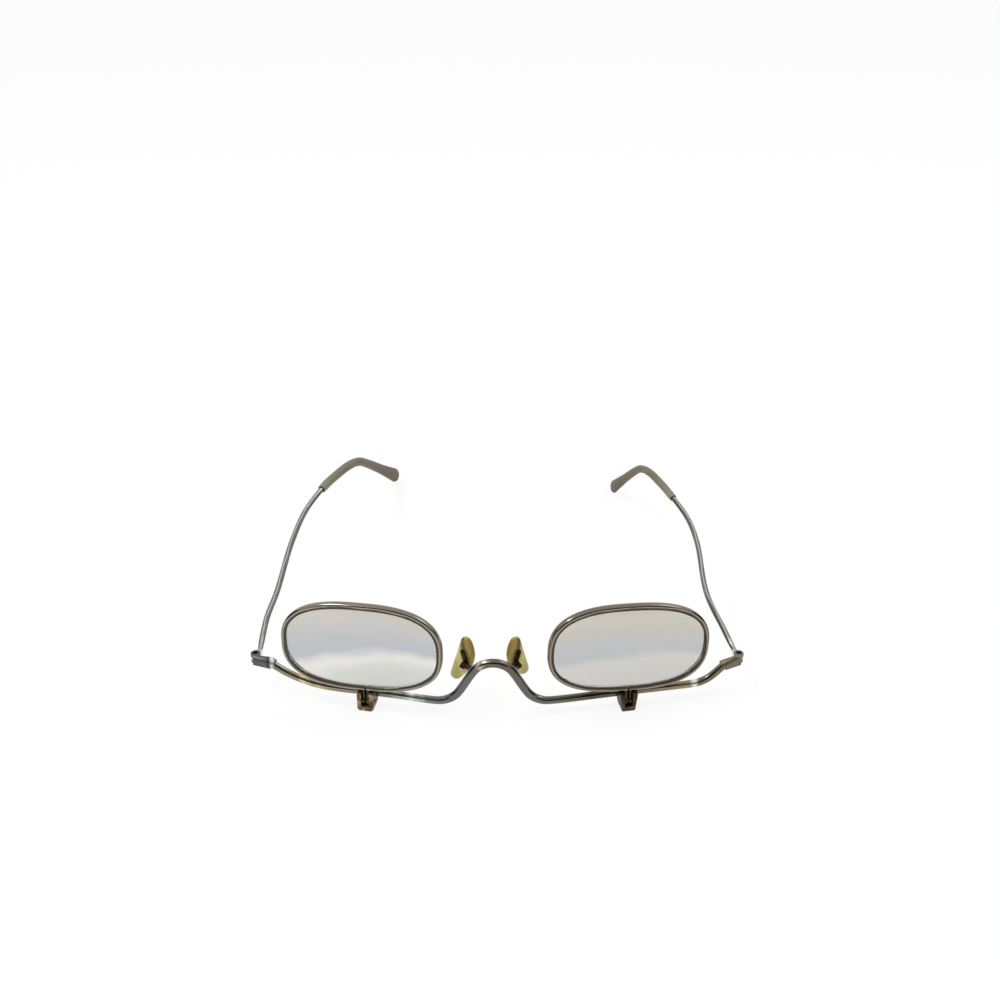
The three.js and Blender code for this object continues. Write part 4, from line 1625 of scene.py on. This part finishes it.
@dataclass
class NosePad:
    """A nose pad on its mount, rocking in a box at the end of a bent arm."""

    finishes: Finishes
    side: Side
    wire: FrontWire
    centre: Triple = (6.9, 5.6, 12.25)
    offset: float = -1.7
    splay: float = 64.0
    tilt: float = 15.5
    lobes: tuple[Triple, ...] = (
        (1.1, 4.8, 1.6), (0.55, 3.8, 1.9), (0.15, 2.7, 2.15), (-0.15, 1.6, 2.3),
        (-0.3, 0.4, 2.35), (-0.3, -0.8, 2.3), (-0.1, -2.0, 2.2), (0.25, -3.1, 2.0))
    feet: dict[Side, Triple] = field(default_factory=lambda: {
        Side.LEFT: (1.15, -5.8, 1.65), Side.RIGHT: (0.9, -3.95, 1.7)})
    thick: float = 2.0
    facets: int = 96
    levels: tuple[Pair, ...] = (
        (-1.5, 1.0), (-1.45, 0.99), (-1.1, 0.95), (-0.75, 0.85), (-0.45, 0.7), (-0.2, 0.48),
        (-0.05, 0.25), (0.0, 0.0))
    mount_at: Pair = (-0.4, 0.3)
    mount_radius: float = 0.65
    mount_length: float = 6.0
    mount_turn: float = 35.0
    mount_thick: float = 0.35
    mount_ease: float = 0.08
    box_at: Pair = (-0.9, -0.5)
    tongue: Pair = (0.7, 1.2)
    tongue_foot: float = 0.3
    tongue_ease: float = 0.1
    foot_shy: float = 0.02
    pin_radius: float = 0.32
    pin_gap: float = 0.06
    pin_out: float = 2.5
    pin_extra: float = 0.1
    pin_ease: float = 0.08
    cheek: float = 0.32
    side_gap: float = 0.1
    box_low: float = 1.8
    box_top: float = 3.5
    box_ease: float = 0.12
    arm_radius: float = 0.5
    arm_turn: float = 55.0
    arm_lead: Triple = (0.15, 0.9, -0.4)
    arm_sink: float = 0.15
    arm_steps: int = 40
    arm_facets: int = 16

    def place(self) -> Matrix:
        """Frame of the pad: X across it, Y along it, Z out of its front.

        Returns:
            The frame on the right-hand shape.
        """
        splay, tilt = math.radians(self.splay), math.radians(self.tilt)
        out = Vector((math.cos(splay), -math.sin(splay), 0.0))
        along = Vector((-math.sin(tilt), 0.0, math.cos(tilt)))
        across = along.cross(out).normalized()
        columns = Matrix((across, along, across.cross(along))).transposed().to_4x4()
        x, y, z = self.centre
        return shift(x + self.side.value * self.offset, y + HINGE.y, z) @ columns

    def box_place(self) -> Matrix:
        """Frame of the box and the tongue, which are off the middle of the pad."""
        return self.place() @ shift(*self.box_at, 0.0)

    @property
    def pin_place(self) -> Matrix:
        """Frame of the pin in that of the box, with Z along the pin."""
        return shift(0.0, 0.0, self.pin_out) @ turn(90, "Y")

    @property
    def room(self) -> float:
        """Half width of the room in the box."""
        return self.tongue[0] / 2 + self.side_gap

    @property
    def box_half(self) -> float:
        """Half width of the box across the pad."""
        return self.room + self.cheek

    def outline(self, grow: float) -> list[Vector]:
        """Outline of the pad around its lobes, moved out by a distance.

        Args:
            grow: The distance.

        Returns:
            The corners in order, in the frame of the pad.
        """
        lobes = (*self.lobes, self.feet[self.side])
        points = []
        for i in range(self.facets):
            a = math.tau * i / self.facets
            out = Vector((math.cos(a), math.sin(a), 0.0))
            across, along, radius = max(
                lobes, key=lambda lobe: lobe[0] * out.x + lobe[1] * out.y + lobe[2])
            points.append(Vector((across, along, 0.0)) + out * (radius + grow))
        return points

    def pad_shape(self) -> Shape:
        """The pad: rounded all round and slightly domed on both faces.

        Returns:
            The shape.
        """
        half = self.thick / 2
        under = [(grow, -z) for grow, z in reversed(self.levels[:-1])]
        rows = [[p + Vector((0.0, 0.0, z * half)) for p in self.outline(grow)]
                for grow, z in (*self.levels, *under)]
        return placed(mark(bridged(rows), Vector.copy), self.place())

    def mount_shape(self) -> Shape:
        """The metal mount: a strip across the pad and a tongue with an eye.

        Returns:
            The shape.
        """
        seat = self.thick / 2
        lean = self.place() @ shift(*self.mount_at, 0.0) @ turn(-self.mount_turn, "Z")
        reach = self.mount_length / 2 - self.mount_radius
        ends = [pin(self.mount_radius, self.mount_thick,
                    lean @ shift(0.0, hand * reach, seat + self.mount_thick / 2), self.mount_ease)
                for hand in (-1, 1)]
        thick, wide = self.tongue[0] / 2, self.tongue[1] / 2
        eye = pin(wide, thick * 2, self.pin_place, self.tongue_ease)
        foot = block((-thick, self.foot_shy - wide, seat),
                     (thick, wide - self.foot_shy, seat + self.tongue_foot), shift(0, 0, 0))
        tongue = cut(hull(foot, eye), self.bore())
        return merge(hull(*ends), placed(tongue, self.box_place()))

    def bore(self) -> Shape:
        """Cutter for the holes that the pin goes through."""
        return pin(self.pin_radius + self.pin_gap, self.box_half * 4, self.pin_place, CRISP)

    def box_shape(self) -> Shape:
        """The box: two cheeks and a back, bored for the pin.

        Returns:
            The shape.
        """
        half, wide, flat = self.box_half, self.tongue[1] / 2, shift(0, 0, 0)
        outer = block((-half, -wide, self.box_low), (half, wide, self.box_top), flat)
        inside = block((-self.room, -wide * 2, 0.0),
                       (self.room, wide * 2, self.box_top - self.cheek), flat)
        return placed(ease(cut(outer, inside, self.bore()), self.box_ease), self.box_place())

    def pin_shape(self) -> Shape:
        """The pin that the tongue rocks on."""
        length = self.box_half * 2 + self.pin_extra
        return pin(self.pin_radius, length, self.box_place() @ self.pin_place, self.pin_ease)

    def arm_shape(self) -> Shape:
        """The bent arm from the arch to the box.

        Returns:
            The shape.
        """
        end = self.box_place() @ Vector((
            self.arm_sink - self.box_half, 0.0, self.box_top - self.arm_radius))
        across, high = self.wire.crown(math.radians(self.arm_turn))
        foot = Vector((across + self.side.value * self.wire.nose_offset,
                       self.wire.arch_back + self.wire.radius, high))
        path = even(spline([foot, foot + Vector(self.arm_lead), end]), self.arm_steps)
        return rod(path, self.arm_radius, self.arm_facets)

    def build(self) -> None:
        """Make the pad, its mount, its box with the pin, and the arm."""
        word, made = self.side.word, self.finishes
        rocker = f"pad_{word}_rocker"
        for name, form, body, slot, material, shape in (
                ("nose_pad", "moulded", rocker, "pad_plastic", made.pad, self.pad_shape),
                ("pad_mount", "stamped", rocker, "brass", made.pad_brass, self.mount_shape),
                ("pad_box", "folded", "frame", "brass", made.pad_brass, self.box_shape),
                ("pad_pin", "turned", "frame", "brass", made.pad_brass, self.pin_shape),
                ("pad_arm", "bent", "frame", "nickel", made.pad_arm, self.arm_shape)):
            Piece(f"{name}_{word}", form, body, slot, material).settle(shape(), self.side)


# The set, in metres

WHITE = "#ffffff"


def seen(tree: Tree) -> Socket:
    """Output that is 1 for rays from the camera, off metal and through glass.

    Args:
        tree: The tree that it is used in.

    Returns:
        The output.
    """
    path = add_node(tree, "LightPath").outputs
    share = path["Is Camera Ray"]
    for kind in ("Is Glossy Ray", "Is Transmission Ray"):
        share = add_node(tree, "Math", {0: share, 1: path[kind]}, operation="MAXIMUM").outputs[0]
    return share


@dataclass(frozen=True)
class FrostedFloor(Finish):
    """Pale floor: shaded under the glasses, clear enough to show a lens that swings below it."""

    colour: str = "#f6f6f4"
    clear_share: float = 0.86

    def surface(self, tree: Tree) -> Socket:
        """Matt white, mostly clear to the rays that are seen.

        Args:
            tree: The tree of the material.

        Returns:
            The output of the shader.
        """
        share = add_node(tree, "Math", {0: seen(tree), 1: self.clear_share}, operation="MULTIPLY")
        matt = add_node(tree, "BsdfDiffuse", {"Color": linear(self.colour)})
        clear = add_node(tree, "BsdfTransparent", {"Color": linear(WHITE)})
        return add_node(tree, "MixShader", {
            0: share.outputs[0], 1: matt.outputs[0], 2: clear.outputs[0]}).outputs[0]


@dataclass(frozen=True)
class DarkCard(Finish):
    """Matt black card."""

    colour: str = "#1a1917"

    def surface(self, tree: Tree) -> Socket:
        """Plain matt black."""
        return add_node(tree, "BsdfDiffuse", {"Color": linear(self.colour)}).outputs[0]


def facing(spot: Triple, away: bool = False) -> Matrix:
    """Place at a spot whose Z points at the glasses, or away from them."""
    out = Vector(spot) if away else -Vector(spot)
    return shift(*spot) @ out.to_track_quat("Z", "Y").to_matrix().to_4x4()


@dataclass
class Studio:
    """A white floor under soft light, with dark cards that give polished metal its lines."""

    camera_at: Triple = (0.0008, -0.36255, 0.22139)
    pitch: float = 62.0
    lens_mm: float = 48.6
    sensor_mm: float = 36.0
    clip_start: float = 0.01
    floor_size: float = 8.0
    floor_drop: float = 0.00003
    world_strength: float = 0.8

    def sheet(self, name: str, place: Matrix, size: Pair, finish: Finish) -> bpy.types.Object:
        """Flat sheet of the set.

        Args:
            name: Its name.
            place: Where it lies.
            size: Size along its X and Y.
            finish: Its finish.

        Returns:
            The sheet.
        """
        bm = bmesh.new()
        bmesh.ops.create_grid(bm, x_segments=2, y_segments=2, size=0.5,
                              matrix=place @ Matrix.Diagonal((*size, 1.0, 1.0)))
        mesh = bpy.data.meshes.new(name)
        bm.to_mesh(mesh)
        bm.free()
        mesh.materials.append(finish.build())
        obj = bpy.data.objects.new(name, mesh)
        bpy.context.scene.collection.objects.link(obj)
        return obj

    def card(self, name: str, spot: Triple, size: Pair) -> None:
        """Dark card that only reflections see, facing the glasses.

        Args:
            name: Its name.
            spot: Its middle.
            size: Width and height.
        """
        card = self.sheet(name, facing(spot), size, DarkCard(name))
        card.visible_camera = card.visible_diffuse = False
        card.visible_shadow = card.visible_transmission = False

    def lamp(self, name: str, spot: Triple, size: Pair, energy: float) -> None:
        """Soft lamp that faces the glasses.

        Args:
            name: Its name.
            spot: Its place.
            size: Width and height.
            energy: Its power in watts.
        """
        light = bpy.data.lights.new(name, "AREA")
        light.shape = "RECTANGLE"
        light.size, light.size_y = size
        light.energy = energy
        obj = bpy.data.objects.new(name, light)
        obj.matrix_world = facing(spot, away=True)
        bpy.context.scene.collection.objects.link(obj)

    def world(self) -> None:
        """Make the world: soft even light, and white to the eye."""
        world = bpy.data.worlds.new("studio_air")
        bpy.context.scene.world = world
        world.use_nodes = True
        tree = world.node_tree
        tree.nodes.clear()
        strength = add_node(tree, "MapRange", {
            "Value": seen(tree), "To Min": self.world_strength, "To Max": 1.0})
        light = add_node(tree, "Background", {
            "Color": linear(WHITE), "Strength": strength.outputs[0]})
        add_node(tree, "OutputWorld", {"Surface": light.outputs[0]})

    def camera(self) -> None:
        """Make the camera at the photograph's view."""
        data = bpy.data.cameras.new("camera")
        data.lens = self.lens_mm
        data.sensor_width = self.sensor_mm
        data.clip_start = self.clip_start
        obj = bpy.data.objects.new("camera", data)
        obj.location = self.camera_at
        obj.rotation_euler = (math.radians(self.pitch), 0.0, 0.0)
        bpy.context.scene.collection.objects.link(obj)
        bpy.context.scene.camera = obj

    def build(self) -> None:
        """Make the whole set."""
        self.camera()
        self.sheet("floor", shift(0.0, 0.0, -self.floor_drop), (self.floor_size, self.floor_size),
                   FrostedFloor("frosted_white_floor"))
        self.world()
        self.card("front_card", (0.0, -0.9, 0.55), (1.8, 0.7))
        self.card("left_card", (-0.8, 0.0, 0.2), (0.9, 0.4))
        self.card("right_card", (0.8, 0.0, 0.2), (0.9, 0.4))
        self.lamp("key_lamp", (-0.45, -0.1, 0.8), (0.4, 0.14), 3.0)
        self.lamp("fill_lamp", (0.5, 0.25, 0.7), (0.3, 0.3), 1.2)
        bpy.context.scene.view_settings.view_transform = "Standard"


def main() -> None:
    """Build the set and every sub-assembly."""
    logging.basicConfig(level=logging.INFO, format="%(name)s %(message)s")
    Studio().build()
    finishes = Finishes()
    wire = FrontWire(finishes)
    wire.build()
    left, right = Side.LEFT, Side.RIGHT
    glass_tints = {
        left: LensGlass("greyed_crown_glass_left", LEFT_GLASS_TINT_AND_REFLECTION, (9.0, -11.8), (26.0, 10.0)),
        right: LensGlass("greyed_crown_glass_right", RIGHT_GLASS_TINT_AND_REFLECTION, (6.0, -11.6), (28.0, 9.0)),
    }
    lenses = {left: FlipLens(finishes, left, 1.0, 1.2, glass_tints[left]),
              right: FlipLens(finishes, right, 0.0, 3.2, glass_tints[right])}
    hinges = {left: FlipHinge(finishes, left, top_width=4.5, foot_width=4.4, foot_round=0.8),
              right: FlipHinge(finishes, right, foot_width=3.7)}
    temples = {
        left: Temple(finishes, left, 125.4, 64.6,
                     ((0.1164, 0.0081), (0.2041, 0.02), (0.3748, 0.0336), (0.4944, 0.0551),
                      (0.5901, 0.0934)), (0.6954, 0.158), (1.0, 0.2401)),
        right: Temple(finishes, right, 116.1, 59.0,
                      ((0.0913, 0.0232), (0.2119, 0.049), (0.4048, 0.0516), (0.4996, 0.0662),
                       (0.6029, 0.105)), (0.7235, 0.1618), (1.0, 0.223), radius=0.8, tip_wall=0.28),
    }
    for side in Side:
        lenses[side].build()
        hinges[side].build()
        TempleHinge(finishes, side, wire).build()
        temples[side].build()
        NosePad(finishes, side, wire).build()


if __name__ == "__main__":
    main()
